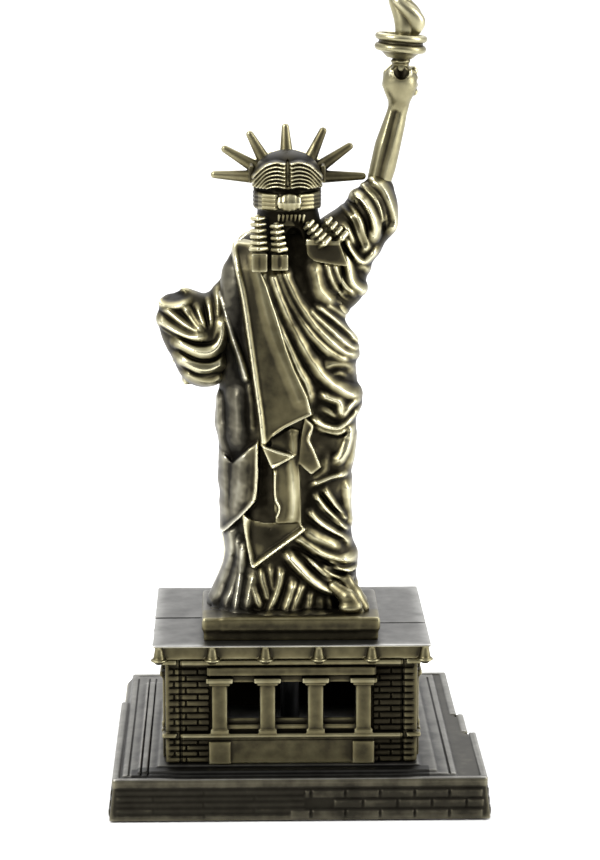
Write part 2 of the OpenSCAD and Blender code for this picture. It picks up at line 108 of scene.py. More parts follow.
class Vol:
    """A block of space that holds a signed distance, negative inside the metal."""

    def __init__(self, lo, hi, cell):
        self.h = cell * COARSE
        self.lo = np.array(lo, float)
        n = [int(math.ceil((b - a) / self.h)) + 1 for a, b in zip(lo, hi)]
        ax = [(self.lo[i] + self.h * np.arange(n[i])).astype(np.float32) for i in range(3)]
        self.ax = ax
        self.x = ax[0][:, None, None]
        self.y = ax[1][None, :, None]
        self.z = ax[2][None, None, :]
        self.d = np.full(n, 6, np.float32)

    def near(self, lo, hi, margin):
        """The part of the grid within margin of a box, and its coordinates."""
        cut = []
        for i in range(3):
            a = int(max(0, math.floor((lo[i] - margin - self.lo[i]) / self.h)))
            b = int(min(len(self.ax[i]), math.ceil((hi[i] + margin - self.lo[i]) / self.h) + 1))
            cut.append(slice(a, max(a, b)))
        s = tuple(cut)
        return s, self.x[s[0]], self.y[:, s[1]], self.z[:, :, s[2]]

    def put(self, s, v, k, how):
        if how == "add":
            self.d[s] = smooth_min(self.d[s], v, k)
        elif how == "cut":
            self.d[s] = -smooth_min(-self.d[s], v, k)
        else:
            self.d[s] = -smooth_min(-self.d[s], -v, k)

    def box(self, lo, hi, r=0.0, how="add", k=0.0):
        """Box between two corners with edges rounded by r."""
        s, x, y, z = self.near(lo, hi, 1.5 + k)
        c = [(a + b) / 2 for a, b in zip(lo, hi)]
        e = [(b - a) / 2 - r for a, b in zip(lo, hi)]
        qx, qy, qz = np.abs(x - c[0]) - e[0], np.abs(y - c[1]) - e[1], np.abs(z - c[2]) - e[2]
        out = np.sqrt(np.maximum(qx, 0) ** 2 + np.maximum(qy, 0) ** 2 + np.maximum(qz, 0) ** 2)
        v = out + np.minimum(np.maximum(qx, np.maximum(qy, qz)), 0) - r
        self.put(s, v, k, how)

    def egg(self, at, r, how="add", k=0.0, turn=None):
        """Ellipsoid with half sizes r, turned by a rotation if one is given."""
        m = max(r)
        s, x, y, z = self.near([c - m for c in at], [c + m for c in at], 1.5 + k)
        p = [x - at[0], y - at[1], z - at[2]]
        if turn is not None:
            p = [sum(turn[j][i] * p[j] for j in range(3)) for i in range(3)]
        k0 = np.sqrt(sum((p[i] / r[i]) ** 2 for i in range(3)))
        k1 = np.sqrt(sum((p[i] / r[i] ** 2) ** 2 for i in range(3))) + 1e-6
        self.put(s, k0 * (k0 - 1) / k1, k, how)

    def limb(self, balls, k=0.0, how="add", flat=(1, 1, 1)):
        """Chain of balls [x, y, z, radius], each joined to the next. flat squeezes it along an axis."""
        for a, b in zip(balls[:-1], balls[1:]):
            r = max(a[3], b[3]) * 1.2
            lo = [min(a[i], b[i]) - r for i in range(3)]
            hi = [max(a[i], b[i]) + r for i in range(3)]
            s, x, y, z = self.near(lo, hi, 1.5 + k)
            v = [b[i] - a[i] for i in range(3)]
            f = flat
            vv = sum((v[i] * f[i]) ** 2 for i in range(3)) + 1e-9
            px, py, pz = (x - a[0]) * f[0], (y - a[1]) * f[1], (z - a[2]) * f[2]
            t = np.clip((px * v[0] * f[0] + py * v[1] * f[1] + pz * v[2] * f[2]) / vv, 0, 1)
            q = np.sqrt((px - t * v[0] * f[0]) ** 2 + (py - t * v[1] * f[1]) ** 2
                        + (pz - t * v[2] * f[2]) ** 2)
            self.put(s, q - (a[3] + (b[3] - a[3]) * t), k, how)

    def field(self, fn, lo, hi, k=0.0, how="add", margin=1.5):
        """Any distance fn(x, y, z) that matters only near a box."""
        s, x, y, z = self.near(lo, hi, margin + k)
        self.put(s, fn(x, y, z).astype(np.float32), k, how)

    def soften(self, mm):
        self.d = blurred(np.clip(self.d, -2, 2), mm / self.h)
        return self

    def sample(self, g, p):
        """Values of grid g at points p."""
        q = (p - self.lo) / self.h
        i = np.clip(np.floor(q).astype(int), 0, np.array(g.shape) - 2)
        f = (q - i).astype(np.float32)
        out = 0
        for dx in (0, 1):
            for dy in (0, 1):
                for dz in (0, 1):
                    w = (np.abs(1 - dx - f[:, 0]) * np.abs(1 - dy - f[:, 1])
                         * np.abs(1 - dz - f[:, 2]))
                    out = out + w * g[i[:, 0] + dx, i[:, 1] + dy, i[:, 2] + dz]
        return out


def mesh_of(name, vol, height=None, node=None, shine=0.0, edge=1.0,
            reflected_grey=None):
    """The surface of vol as an object.

    height(p) is a term of patina, rubbing and painted light at points p in millimetres, edge scales
    what the shape itself gives (patina and rubbing at a fine scale, painted shade and highlight at a
    broad one), and the last function greys the colour at points p: a painted reflection of the pale
    surroundings.
    """
    grid = openvdb.FloatGrid(3 * vol.h)
    grid.transform = openvdb.createLinearTransform(vol.h)
    outside = 3 * vol.h
    near = np.clip(vol.d, -outside, outside)
    for axis in range(3):                  # the block's own faces are never metal
        face = np.moveaxis(near, axis, 0)
        face[0] = face[-1] = outside
    grid.copyFromArray(near)
    pts, quads = grid.convertToQuads(0.0)
    p = pts + vol.lo
    wide = np.clip(vol.d, -2.4, 2.4)
    # At the fine scale the blurred distance gives patina in hollows and rubbed crests; at the broad
    # scale it gives painted shade in wide hollows and painted highlight on swellings.
    fine = vol.sample(blurred(wide, FINE_MM / vol.h), p)
    broad_shade = vol.sample(blurred(wide, BROAD_SHADE_MM / vol.h), p)
    wear_and_painted_light = MIDDLE_WEAR + shine + edge * (FINE_GAIN * fine + BROAD_SHADE_GAIN * broad_shade)
    if height is not None:
        wear_and_painted_light = wear_and_painted_light + height(p)
    me = bpy.data.meshes.new(name)
    me.vertices.add(len(p))
    me.vertices.foreach_set("co", (p * MM).astype(np.float32).ravel())
    q = np.asarray(quads)[:, ::-1]
    me.loops.add(q.size)
    me.loops.foreach_set("vertex_index", q.astype(np.int32).ravel())
    me.polygons.add(len(q))
    me.polygons.foreach_set("loop_start", np.arange(0, q.size, 4, dtype=np.int32))
    me.polygons.foreach_set("use_smooth", np.ones(len(q), bool))
    me.update(calc_edges=True)
    # How far the colour is greyed: a painted reflection of the pale surroundings.
    painted_reflection = np.zeros(len(p)) if reflected_grey is None else reflected_grey(p)
    for label, value in (("wear_and_painted_light", wear_and_painted_light), ("painted_reflection", painted_reflection)):
        att = me.attributes.new(label, "FLOAT", "POINT")
        att.data.foreach_set("value", np.clip(value, 0, 1).astype(np.float32))
    ob = bpy.data.objects.new(name, me)
    bpy.context.scene.collection.objects.link(ob)
    me.materials.append(BRASS)
    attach(ob, "root")
    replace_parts(ob, *([name] if node is None else node))
    return ob


def spline(path, n=6):
    """Smooth polyline through the points of path."""
    p = np.array(path, float)
    if len(p) < 3:
        t = np.linspace(0, 1, n + 1)[:, None]
        return p[0] * (1 - t) + p[-1] * t
    q = np.vstack([2 * p[0] - p[1], p, 2 * p[-1] - p[-2]])
    out = []
    for i in range(1, len(q) - 2):
        t = np.linspace(0, 1, n, endpoint=False)[:, None]
        a, b, c, d = q[i - 1], q[i], q[i + 1], q[i + 2]
        out.append(0.5 * (2 * b + (c - a) * t + (2 * a - 5 * b + 4 * c - d) * t ** 2
                          + (3 * b - a - 3 * c + d) * t ** 3))
    return np.vstack(out + [p[-1:]])


class Relief:
    """A height map over x and z that is laid on one side of a form."""

    def __init__(self, vol):
        self.x = vol.ax[0][:, None]
        self.z = vol.ax[2][None, :]
        self.lo = (float(vol.ax[0][0]), float(vol.ax[2][0]))
        self.cell = vol.h
        self.h = np.zeros((len(vol.ax[0]), len(vol.ax[2])), np.float32)

    def ridge(self, path, w, h, w2=None, fade=1.5, mask=None):
        """Fold along path, w wide to its right and w2 to its left, h high, fading at both ends."""
        p = spline(path)
        w2 = w2 or w
        seg = np.linalg.norm(np.diff(p, axis=0), axis=1)
        run = np.concatenate([[0], np.cumsum(seg)])
        m = max(w, w2)
        for i in range(len(seg)):
            a, b = p[i], p[i + 1]
            ix = [int((min(a[0], b[0]) - m - self.lo[0]) / self.cell),
                  int((max(a[0], b[0]) + m - self.lo[0]) / self.cell) + 2]
            iz = [int((min(a[1], b[1]) - m - self.lo[1]) / self.cell),
                  int((max(a[1], b[1]) + m - self.lo[1]) / self.cell) + 2]
            cx, cz = slice(max(0, ix[0]), max(0, ix[1])), slice(max(0, iz[0]), max(0, iz[1]))
            x, z = self.x[cx] - a[0], self.z[:, cz] - a[1]
            vx, vz = (b - a) / max(seg[i], 1e-6)
            t = np.clip(x * vx + z * vz, 0, seg[i])
            dist = np.sqrt((x - t * vx) ** 2 + (z - t * vz) ** 2)
            side = np.where(x * vz - z * vx > 0, w, w2)
            along = run[i] + t
            end = np.clip(np.minimum(along, run[-1] - along) / fade + 0.15, 0, 1)
            q = dist / side
            v = h * end * np.clip(1 - q, 0, 1) ** 0.75
            if mask is not None:
                v = v * mask[cx, cz]
            self.h[cx, cz] = np.maximum(self.h[cx, cz], v)

    def groove(self, path, w, h, fade=1.5):
        """Cut along path."""
        cut = copy.copy(self)
        cut.h = np.zeros_like(self.h)
        cut.ridge(path, w, h, fade=fade)
        self.h -= cut.h

    def blob(self, at, r, h):
        """Soft swelling with half sizes r."""
        q = ((self.x - at[0]) / r[0]) ** 2 + ((self.z - at[1]) / r[1]) ** 2
        self.h += (h * np.exp(-q)).astype(np.float32)

    def inside(self, poly):
        """Signed distance to a polygon, negative inside."""
        p = np.array(poly, float)
        d = np.full(self.h.shape, 1e9, np.float32)
        odd = np.zeros(self.h.shape, bool)
        for a, b in zip(p, np.roll(p, -1, axis=0)):
            v = b - a
            x, z = self.x - a[0], self.z - a[1]
            t = np.clip((x * v[0] + z * v[1]) / (v @ v), 0, 1)
            d = np.minimum(d, (x - t * v[0]) ** 2 + (z - t * v[1]) ** 2)
            if a[1] != b[1]:
                cross = (self.z > min(a[1], b[1])) & (self.z <= max(a[1], b[1]))
                odd ^= cross & (self.x < a[0] + (self.z - a[1]) * v[0] / v[1])
        return np.where(odd, -1, 1) * np.sqrt(d)

    def plate(self, poly, h, edge=0.35, over=None):
        """Raise a polygon to height h plus the map over, with an edge that wide."""
        m = step(-self.inside(poly), -edge / 2, edge / 2)
        top = h + (0 if over is None else over.h)
        self.h = (self.h * (1 - m) + top * m).astype(np.float32)
        return m

    def at(self, x, z):
        """Heights at points."""
        i = np.clip((x - self.lo[0]) / self.cell, 0, self.h.shape[0] - 1.001)
        j = np.clip((z - self.lo[1]) / self.cell, 0, self.h.shape[1] - 1.001)
        a, b = i.astype(int), j.astype(int)
        f, g = i - a, j - b
        h = self.h
        return ((h[a, b] * (1 - f) + h[a + 1, b] * f) * (1 - g)
                + (h[a, b + 1] * (1 - f) + h[a + 1, b + 1] * f) * g)


RUMPLE = np.random.default_rng(3)


def rumple(rel, size, amount):
    """Uneven hand-worked surface: smoothed noise, longer down the cloth than across it."""
    n = RUMPLE.standard_normal(rel.h.shape).astype(np.float32)
    n = blurred(n[:, :, None].repeat(2, axis=2), size / rel.cell)[:, :, 0]
    return n * amount / n.std()


# ---------------------------------------------------------------- material


def scaled(tree, source, scale, offset):
    """A node's value times scale, plus offset."""
    n = tree.nodes.new("ShaderNodeMath")
    n.operation = "MULTIPLY_ADD"
    n.inputs[1].default_value = scale
    n.inputs[2].default_value = offset
    tree.links.new(source, n.inputs[0])
    return n.outputs[0]


def ramped(tree, source, stops):
    """Colour looked up by a value on a ramp whose stops are (place, colour)."""
    n = tree.nodes.new("ShaderNodeValToRGB")
    tree.links.new(source, n.inputs[0])
    el = n.color_ramp.elements
    while len(el) < len(stops):
        el.new(0.5)
    for e, (place, color) in zip(el, stops):
        e.position = place
        e.color = (*color, 1)
    return n.outputs[0]


def kept_value(tree, name):
    """A value kept on the points of the mesh."""
    n = tree.nodes.new("ShaderNodeAttribute")
    n.attribute_name = name
    return n.outputs["Fac"]


# Colour against the value of patina, rubbing and painted light: black in the recesses, olive between,
# pale where it is rubbed and where a highlight is painted.
PATINA = [(0.0, (0.006, 0.005, 0.003)), (0.30, (0.030, 0.026, 0.016)), (0.52, (0.13, 0.113, 0.060)),
          (0.75, (0.30, 0.275, 0.165)), (1.0, (0.66, 0.62, 0.42))]
GRAIN_SCALE, GRAIN_DEPTH = 420, 0.22     # cloudiness of the finish, and how far it moves the wear
ROUGH_DARK, ROUGH_RUBBED = 0.52, 0.27


def brass(name):
    """Antique brass whose colour and roughness follow the kept patina, rubbing and painted light, less
    yellow where the kept painted reflection of the pale surroundings is high.
    """
    m = bpy.data.materials.new(name)
    m.use_nodes = True
    t = m.node_tree
    t.nodes.clear()
    new, link = t.nodes.new, t.links.new
    out = new("ShaderNodeOutputMaterial")
    bsdf = new("ShaderNodeBsdfPrincipled")
    link(bsdf.outputs[0], out.inputs[0])
    bsdf.inputs["Metallic"].default_value = 1.0
    place = new("ShaderNodeTexCoord")
    grain = new("ShaderNodeTexNoise")
    grain.inputs["Scale"].default_value = GRAIN_SCALE
    grain.inputs["Detail"].default_value = 4
    link(place.outputs["Object"], grain.inputs["Vector"])
    total = new("ShaderNodeMath")
    link(kept_value(t, "wear_and_painted_light"), total.inputs[0])
    link(scaled(t, grain.outputs[0], GRAIN_DEPTH, -GRAIN_DEPTH / 2), total.inputs[1])
    hue = new("ShaderNodeHueSaturation")
    link(scaled(t, kept_value(t, "painted_reflection"), -1, 1), hue.inputs["Saturation"])
    link(ramped(t, total.outputs[0], PATINA), hue.inputs["Color"])
    link(hue.outputs[0], bsdf.inputs["Base Color"])
    rough = new("ShaderNodeMapRange")
    rough.inputs["To Min"].default_value = ROUGH_DARK
    rough.inputs["To Max"].default_value = ROUGH_RUBBED
    link(total.outputs[0], rough.inputs["Value"])
    link(rough.outputs[0], bsdf.inputs["Roughness"])
    return m


def plain_material(name, color, rough, metallic=0.0):
    m = bpy.data.materials.new(name)
    m.use_nodes = True
    b = m.node_tree.nodes["Principled BSDF"]
    b.inputs["Base Color"].default_value = (*color, 1)
    b.inputs["Roughness"].default_value = rough
    b.inputs["Metallic"].default_value = metallic
    return m


BRASS = brass("antique_brass")
STEEL = plain_material("blackened_steel", (0.04, 0.04, 0.04), 0.5, 1.0)

# ---------------------------------------------------------------- robe

SEAM = 15.0
# Rows of height, low x, high x, depth behind the seam and depth before it.
ROBE = np.array([
    [40.8, -15.8, 19.8, 13.4, 14.4], [42.3, -14.3, 19.4, 13.0, 13.8],
    [44.2, -12.9, 18.4, 12.6, 13.2], [46.2, -12.7, 17.2, 12.2, 12.8],
    [49.2, -13.4, 15.7, 11.7, 12.6], [52.2, -13.1, 15.2, 11.4, 12.4],
    [55.0, -12.2, 15.8, 11.2, 12.2], [58.2, -11.8, 16.2, 11.0, 12.0],
    [64.2, -11.4, 16.2, 10.7, 11.6], [68.2, -11.9, 16.6, 10.6, 11.4],
    [74.2, -12.0, 16.5, 10.4, 11.2], [77.2, -12.4, 17.0, 10.3, 11.0],
    [80.2, -12.8, 17.8, 10.2, 10.9], [84.2, -14.2, 17.3, 10.1, 10.7],
    [86.2, -14.2, 17.1, 10.0, 10.6], [88.2, -13.4, 17.0, 9.9, 10.5],
    [92.2, -12.3, 16.8, 9.8, 10.3], [94.2, -13.4, 16.7, 9.8, 10.2],
    [96.2, -13.1, 16.6, 9.7, 10.1], [98.2, -12.3, 16.6, 9.5, 10.0],
    [100.2, -10.8, 16.5, 9.3, 10.0], [102.2, -10.0, 16.5, 9.1, 10.1],
    [107.7, -10.0, 16.4, 8.9, 10.4], [110.2, -10.5, 16.2, 8.8, 10.4],
    [113.2, -11.0, 15.6, 8.5, 9.8], [116.0, -11.5, 14.2, 7.9, 9.0],
    [118.4, -10.8, 12.2, 7.1, 7.9], [120.5, -8.0, 9.8, 5.8, 6.4],
    [122.2, -3.4, 7.6, 4.2, 4.8],
])


def robe_row(z):
    """Centre, half width and the two depths of the robe at heights z."""
    r = [np.interp(z, ROBE[:, 0], ROBE[:, i]).astype(np.float32) for i in range(1, 5)]
    return (r[0] + r[1]) / 2, (r[1] - r[0]) / 2, r[2], r[3]


def robe_form(x, y, z):
    """Distance to the plain robe, before its folds."""
    cx, a, back, front = robe_row(z)
    a = a - 0.45
    b = np.where(y > SEAM, back, front) - 0.9
    px, py = np.abs(x - cx) / a, np.abs(y - SEAM) / b
    n = 2.3
    k0 = (px ** n + py ** n) ** (1 / n)
    g = np.sqrt((px ** (n - 1) / a) ** 2 + (py ** (n - 1) / b) ** 2) * np.maximum(k0, 0.05) ** (1 - n)
    d = (k0 - 1) / np.maximum(g, 1 / (a + b))
    return np.maximum(d, np.maximum(40.9 - z, z - 122.2))


robe = Vol([-18.5, -1.5, 40.3], [22.5, 31.5, 123.2], 0.24)
base_form = robe_form(robe.x, robe.y, robe.z).astype(np.float32)
back = Relief(robe)

# Broad swellings under the cloth: thigh, hip, calf and the bulge above the heel.
for at, r, h in [((-9.8, 75), (2.4, 6), 0.9), ((-11.4, 51.8), (2.0, 1.9), 1.0),
                 ((-9.0, 93), (3.5, 2.2), 0.5), ((12.8, 67), (3.4, 8), 0.5),
                 ((-8.6, 84.5), (3, 2.4), 0.5)]:
    back.blob(at, r, h)
swell = back.h.copy()
back.h[:] = 0

LEFT_SIDE = [
    ([(15.0, 118), (15.5, 112), (15.2, 106), (15.6, 100)], 1.7, 0.9),
    ([(17, 109), (15.6, 105.4), (14, 100), (12.2, 95), (10.6, 89.6)], 0.55, 1.3),
    ([(16.9, 87), (16.6, 80), (16.2, 76), (15.2, 72)], 0.9, 0.9),
    ([(13.0, 88), (12.8, 80), (13.2, 77)], 1.4, 1.0),
    ([(10.4, 90), (9.9, 84), (9.7, 79)], 0.5, 0.6),
    ([(17.2, 70), (16.4, 66), (16.2, 60), (15.4, 56)], 1.1, 0.9),
]
SWEEPS = [
    ([(7.4, 113.5), (6.2, 108.5), (4.9, 104.5), (3.4, 100.5), (1.7, 97), (0, 93), (-1.8, 89.4),
      (-2.8, 86)], 0.7, 1.2),
    ([(5.6, 113), (4.2, 108.8), (2.9, 105.5), (1.2, 101.8), (-0.6, 98.3), (-2.5, 95), (-4.7, 91.8),
      (-7.4, 89.2), (-10, 87.6), (-13, 86.2)], 0.9, 1.6),
    ([(4.4, 113.5), (2.7, 109), (0.9, 105.3), (-1.1, 102.1), (-3.6, 99), (-6, 96.7), (-8.6, 95),
      (-11, 94.3)], 0.75, 1.3),
    ([(3.0, 113.5), (1.3, 109.3), (-0.6, 105.8), (-2.8, 102.7), (-5.2, 99.9), (-7.6, 97.6),
      (-10, 95.8), (-12.8, 95.0)], 0.8, 1.5),
    ([(-1.8, 105.4), (-4, 103.2), (-6.4, 101), (-9, 98.6), (-11, 96.9), (-13.2, 95.8)], 0.6, 1.4),
    ([(-3.4, 106), (-6, 104), (-8.6, 101.8), (-11, 99.4), (-13.4, 96.8)], 0.55, 1.3),
    ([(-5.2, 106.2), (-7.6, 104.8), (-10, 102.6), (-12, 100)], 0.6, 1.1),
    ([(-6.6, 107), (-8.6, 106), (-10.4, 104.4)], 0.6, 0.8),
]
SHOULDER = [
    ([(-3.4, 114.5), (-4.0, 111), (-5.0, 108.2), (-7.8, 106)], 1.1, 1.3),
    ([(-5.8, 115), (-6.8, 111.6), (-8.2, 108.8), (-10.4, 107)], 0.6, 1.2),
    ([(-7.4, 115), (-8.4, 112), (-9.8, 109.4), (-12, 107.6)], 0.6, 1.2),
    ([(1.2, 113), (-0.4, 110), (-1.6, 107.4)], 0.8, 0.5),
]
HIP = [
    ([(-4.8, 92.4), (-7.2, 93.6), (-10, 93.2), (-12.2, 91)], 0.8, 1.0),
    ([(-6, 91), (-8.4, 91.4), (-10.4, 90.6)], 0.5, 0.7),
    ([(-4.4, 87.4), (-6.8, 86.4), (-8.8, 85.4), (-8.9, 82)], 0.7, 1.4),
    ([(-8.9, 82), (-10.6, 84.2), (-13.2, 86.3)], 0.7, 1.4),
    ([(-4.8, 84.6), (-6.6, 83.4), (-8.4, 82)], 0.5, 0.8),
    ([(-2.8, 82.6), (-5.0, 80.8), (-8, 80.0), (-10.6, 81.2), (-13, 84)], 0.55, 1.3),
    ([(-3.4, 81), (-5.6, 79.5), (-8.4, 79.0), (-10.8, 79.8)], 0.5, 0.9),
    ([(-11.2, 81), (-10.9, 77), (-9.4, 74), (-7.4, 72.6)], 0.8, 1.1),
    ([(-12, 79), (-11.8, 75), (-11, 71)], 0.8, 0.8),
    ([(-2.6, 68.2), (-4.4, 68.8), (-7, 69.6), (-10.4, 70)], 0.45, 1.2),
    ([(-5.6, 74), (-5.2, 71), (-2.6, 69.4)], 0.7, 0.6),
]
LEG = [
    ([(-5.4, 67.4), (-7.2, 64.4), (-9.2, 61.4), (-10.8, 59.4)], 0.5, 1.3),
    ([(-3.2, 66.4), (-5.3, 63.3), (-7.8, 60.6), (-10.8, 57.4)], 0.5, 1.3),
    ([(-2.0, 63.2), (-4, 60.6), (-6.8, 58.4), (-9.4, 56.6), (-11.2, 54.4)], 0.6, 1.2),
    ([(-10.6, 68), (-10.8, 63), (-11.4, 58)], 0.9, 1.1),
    ([(-1.4, 59.2), (-3.4, 57.2), (-6.2, 55.8), (-9, 54.2)], 0.9, 1.0),
    ([(0.8, 57.6), (-2, 55.6), (-5, 53.6), (-8.4, 52.2), (-11, 52)], 0.7, 1.1),
    ([(-4.4, 51.4), (-7, 49.2), (-9.6, 47.6), (-12.4, 47)], 0.5, 1.1),
    ([(-6, 52.2), (-8.8, 50.2), (-12.6, 49.2)], 0.5, 1.1),
    ([(2.6, 54), (0.8, 51.6), (-1.2, 49.6), (-3.6, 47.4), (-6.4, 45.8), (-9.8, 45.4)], 0.8, 1.6),
    ([(-9.8, 45.6), (-10.4, 44), (-8.2, 43.2)], 0.6, 1.1),
    ([(-2.4, 52.6), (-4.6, 50), (-7.2, 47.6), (-10, 46.6)], 0.6, 1.1),
    ([(-12.8, 47), (-13.2, 44.6), (-15.2, 41.4)], 1.0, 1.0),
]
HEM = [
    ([(14.6, 59), (14.0, 54), (15.0, 50), (16.8, 45.4), (18.8, 41.4)], 0.8, 1.2),
    ([(16.6, 54), (16.4, 50), (18.0, 45)], 0.6, 0.9),
    ([(13.2, 57), (12.6, 52), (13.8, 47), (16, 41.4)], 0.7, 1.1),
    ([(11.8, 55.6), (12.2, 50.4), (12.7, 46.4), (13.6, 41.2)], 0.6, 1.4),
    ([(9.5, 49.8), (10.3, 46), (11.2, 41.4)], 0.7, 1.3),
    ([(10.6, 50), (9.4, 46), (7.8, 41.6)], 0.55, 1.2),
    ([(8.2, 50.4), (7.2, 47), (6.2, 43.6)], 0.5, 1.1),
    ([(3.6, 50.8), (4.3, 47), (5.6, 43.6), (7, 41)], 0.5, 1.3),
    ([(5.9, 51.4), (5.6, 48), (4.9, 45)], 0.45, 0.9),
    ([(0.8, 48.4), (1.7, 45.4), (3, 41.4)], 0.6, 1.5),
    ([(-1.0, 47.8), (0.3, 44.6), (1.6, 41.2)], 0.6, 1.5),
    ([(-2.4, 46), (-2.3, 43.6), (-1.6, 41.2)], 0.5, 1.0),
    ([(-4.2, 45), (-4.8, 43), (-4.4, 41.2)], 0.6, 0.9),
    ([(-6.0, 44.6), (-6.8, 42.8), (-6.6, 41.2)], 0.5, 0.8),
]


def lay(rel, folds, wider):
    """Cast a group of folds, each this much wider than its bright crest."""
    for path, w, h in folds:
        rel.ridge(path, wider * w, h)


GROUPS = [(LEFT_SIDE, 1.9), (SWEEPS, 2.0), (SHOULDER, 2.0), (HIP, 1.9), (LEG, 1.8), (HEM, 2.4)]
for group, wider in GROUPS:
    lay(back, group, wider)

# Fine creases between the sweeps over the lower leg and at the hip.
for path in ([(0.6, 54.4), (-2.4, 51.2), (-5.6, 48.6), (-9.0, 47.4)],
             [(-1.6, 54.2), (-4.0, 51.8), (-7.2, 49.6), (-11.2, 48.4)],
             [(-3.4, 53.6), (-6.0, 51.6), (-9.4, 50.4), (-12.2, 50.2)],
             [(1.8, 55.2), (-1.4, 53.8), (-4.6, 51.9), (-8.0, 50.6)],
             [(-3.6, 65.2), (-6.2, 61.8), (-9.2, 59.2)], [(-4.6, 66.4), (-7.0, 63.2), (-10, 60.6)],
             [(-2.6, 61.0), (-5.6, 58.4), (-9.6, 55.8)], [(-5.0, 79.0), (-8.2, 78.0), (-10.6, 79.0)]):
    back.groove(path, 0.45, 0.5, fade=1.0)

# The short cape end on the left hip, and the cloth behind the zigzag tail.
over = Relief(robe)
over.ridge([(8.5, 76.8), (8.7, 72), (8.9, 68), (9.3, 65)], 0.6, 0.8, fade=0.6)
over.ridge([(9.3, 65), (11, 62.9), (13.2, 60.4), (16.2, 57)], 0.7, 0.8, fade=0.6)
over.ridge([(12.2, 74), (12.6, 68), (13.6, 62)], 1.9, 0.45)
over.ridge([(15.6, 75), (15.4, 69), (15.2, 61)], 1.2, 0.4)
back.plate([(17.6, 76), (13.8, 72.6), (10.4, 76), (8.3, 77.6), (8.2, 70), (8.6, 65.2),
            (11, 62.3), (13.4, 59.7), (16.8, 56)], 1.0, 0.5, over)
back.h += rumple(back, 1.1, 0.10) + rumple(back, 0.4, 0.03)
robe_back_map = back.h.copy()

# Long flat panel with its zigzag tail: a stack of plates, lowest first.
tail = Relief(robe)
tail.ridge([(1.5, 80.4), (1.1, 76), (1.7, 73.6), (1.3, 70), (1.0, 66), (1.3, 62), (1.8, 60.6)],
           1.2, 0.8)
tail.ridge([(4.9, 72), (4.9, 66), (4.0, 63.6), (4.8, 61)], 0.45, 0.9)
back.plate([(5.8, 78), (1.6, 80.6), (-0.2, 80), (0.0, 75), (-0.5, 66), (-0.6, 59.8),
            (4.8, 59.8), (5.3, 66), (5.5, 71.6)], 0.7, 0.4, tail)
fold = Relief(robe)
fold.ridge([(-1.3, 82.9), (-2.9, 80.6), (-2.0, 78), (-3.4, 75.4), (-4.6, 72.2)], 0.45, 0.6, fade=0.4)
back.plate([(-1.2, 82.8), (-0.3, 78), (0.1, 73), (-2.6, 70.4), (-4.8, 72), (-2.6, 77.8),
            (-3.2, 81)], 1.1, 0.4, fold)
point = Relief(robe)
point.ridge([(11.0, 62.4), (11.3, 56.5), (9.9, 50.6)], 1.5, 1.7, fade=0.4)
point.ridge([(9.9, 50.6), (5, 54.6), (0, 58.2), (-1.4, 59.3)], 0.85, 1.7, fade=0.4)
point.ridge([(-1.2, 59), (-0.6, 61.5)], 0.8, 1.4, fade=0.4)
point.ridge([(8.4, 58), (5.6, 57.2), (3.4, 58)], 1.6, 0.25, fade=0.8)
back.plate([(12.2, 62.6), (9.2, 60.6), (4, 60.2), (0.2, 60.4), (-1.9, 59.2), (9.8, 49.7)],
           0.25, 0.4, point)
flap = Relief(robe)
flap.ridge([(7.6, 76.9), (4.4, 75.6), (0.9, 74.7)], 0.5, 0.5, fade=0.4)
flap.ridge([(0.9, 74.7), (3, 73.2), (5.6, 72.1)], 0.55, 0.6, fade=0.4)
back.plate([(8.0, 77.2), (0.5, 74.8), (5.7, 71.8)], 1.7, 0.4, flap)
panel = Relief(robe)
LEFT_EDGE = [(13.3, 118.4), (12.6, 113.6), (11.6, 109), (10.9, 105), (10.2, 100), (9.4, 94),
             (8.6, 88), (7.9, 83), (7.3, 77)]
panel.ridge(LEFT_EDGE, 0.8, 0.75, fade=0.5)
panel.ridge([(9.2, 117), (6.9, 106), (4.6, 98), (1.6, 90.5), (-0.6, 85)], 1.7, 0.4)
panel.ridge([(8.8, 115), (6.6, 109), (5, 104.4), (2.9, 97.6), (1, 92.6), (-1.6, 87), (-2.7, 83.6)],
            0.7, 0.3, fade=0.5)
panel.ridge([(-2.7, 83.5), (2.8, 80.8), (5.6, 78.8)], 0.4, 0.35, fade=0.4)
PANEL = [(14.0, 118.6), (13.1, 113), (11.9, 107), (10.9, 100), (9.7, 92), (8.6, 84), (7.8, 76.6),
         (6.6, 77), (5.4, 78.5), (2.8, 80.4), (-3.0, 83.2), (-1.9, 87.2), (0.7, 92.6), (2.6, 97.6),
         (4.6, 104.4), (6.2, 109.2), (8.4, 115), (9.0, 118.6)]
back.plate(PANEL, 1.45, 0.7, panel)
full_map = back.h.copy()
drape_mask = (full_map - robe_back_map > 0.12).astype(np.float32)

# ---- front of the robe: a sash from the left shoulder over long straight folds
front = Relief(robe)
for i, x in enumerate([-10.5, -7.6, -4.4, -1.0, 2.6, 6.2, 9.6, 12.8, 15.6]):
    low = 1.5 + 1.16 * (x - 1.5)
    top = [66, 70, 73, 76, 79, 82, 85, 88, 90][i]
    front.ridge([(low, 41), (x, 50), (x + 0.5 * math.sin(i), 60), (x - 0.4, top)], 1.25,
                1.3 + 0.2 * math.sin(2.3 * i), fade=3)
for i in range(8):
    z = 68 + 4.4 * i
    front.ridge([(-13, z), (-8, z + 0.2 - 0.2 * i), (0, z + 4.5), (7, z + 11), (12, z + 19)],
                0.95, 1.3 - 0.05 * i, fade=3)
front.plate([(13, 120), (9.6, 120), (5, 110), (-2, 98), (-9, 90), (-13.4, 87), (-13.6, 83),
             (-7, 86), (1, 94), (8, 105)], 1.4, 0.5, None)
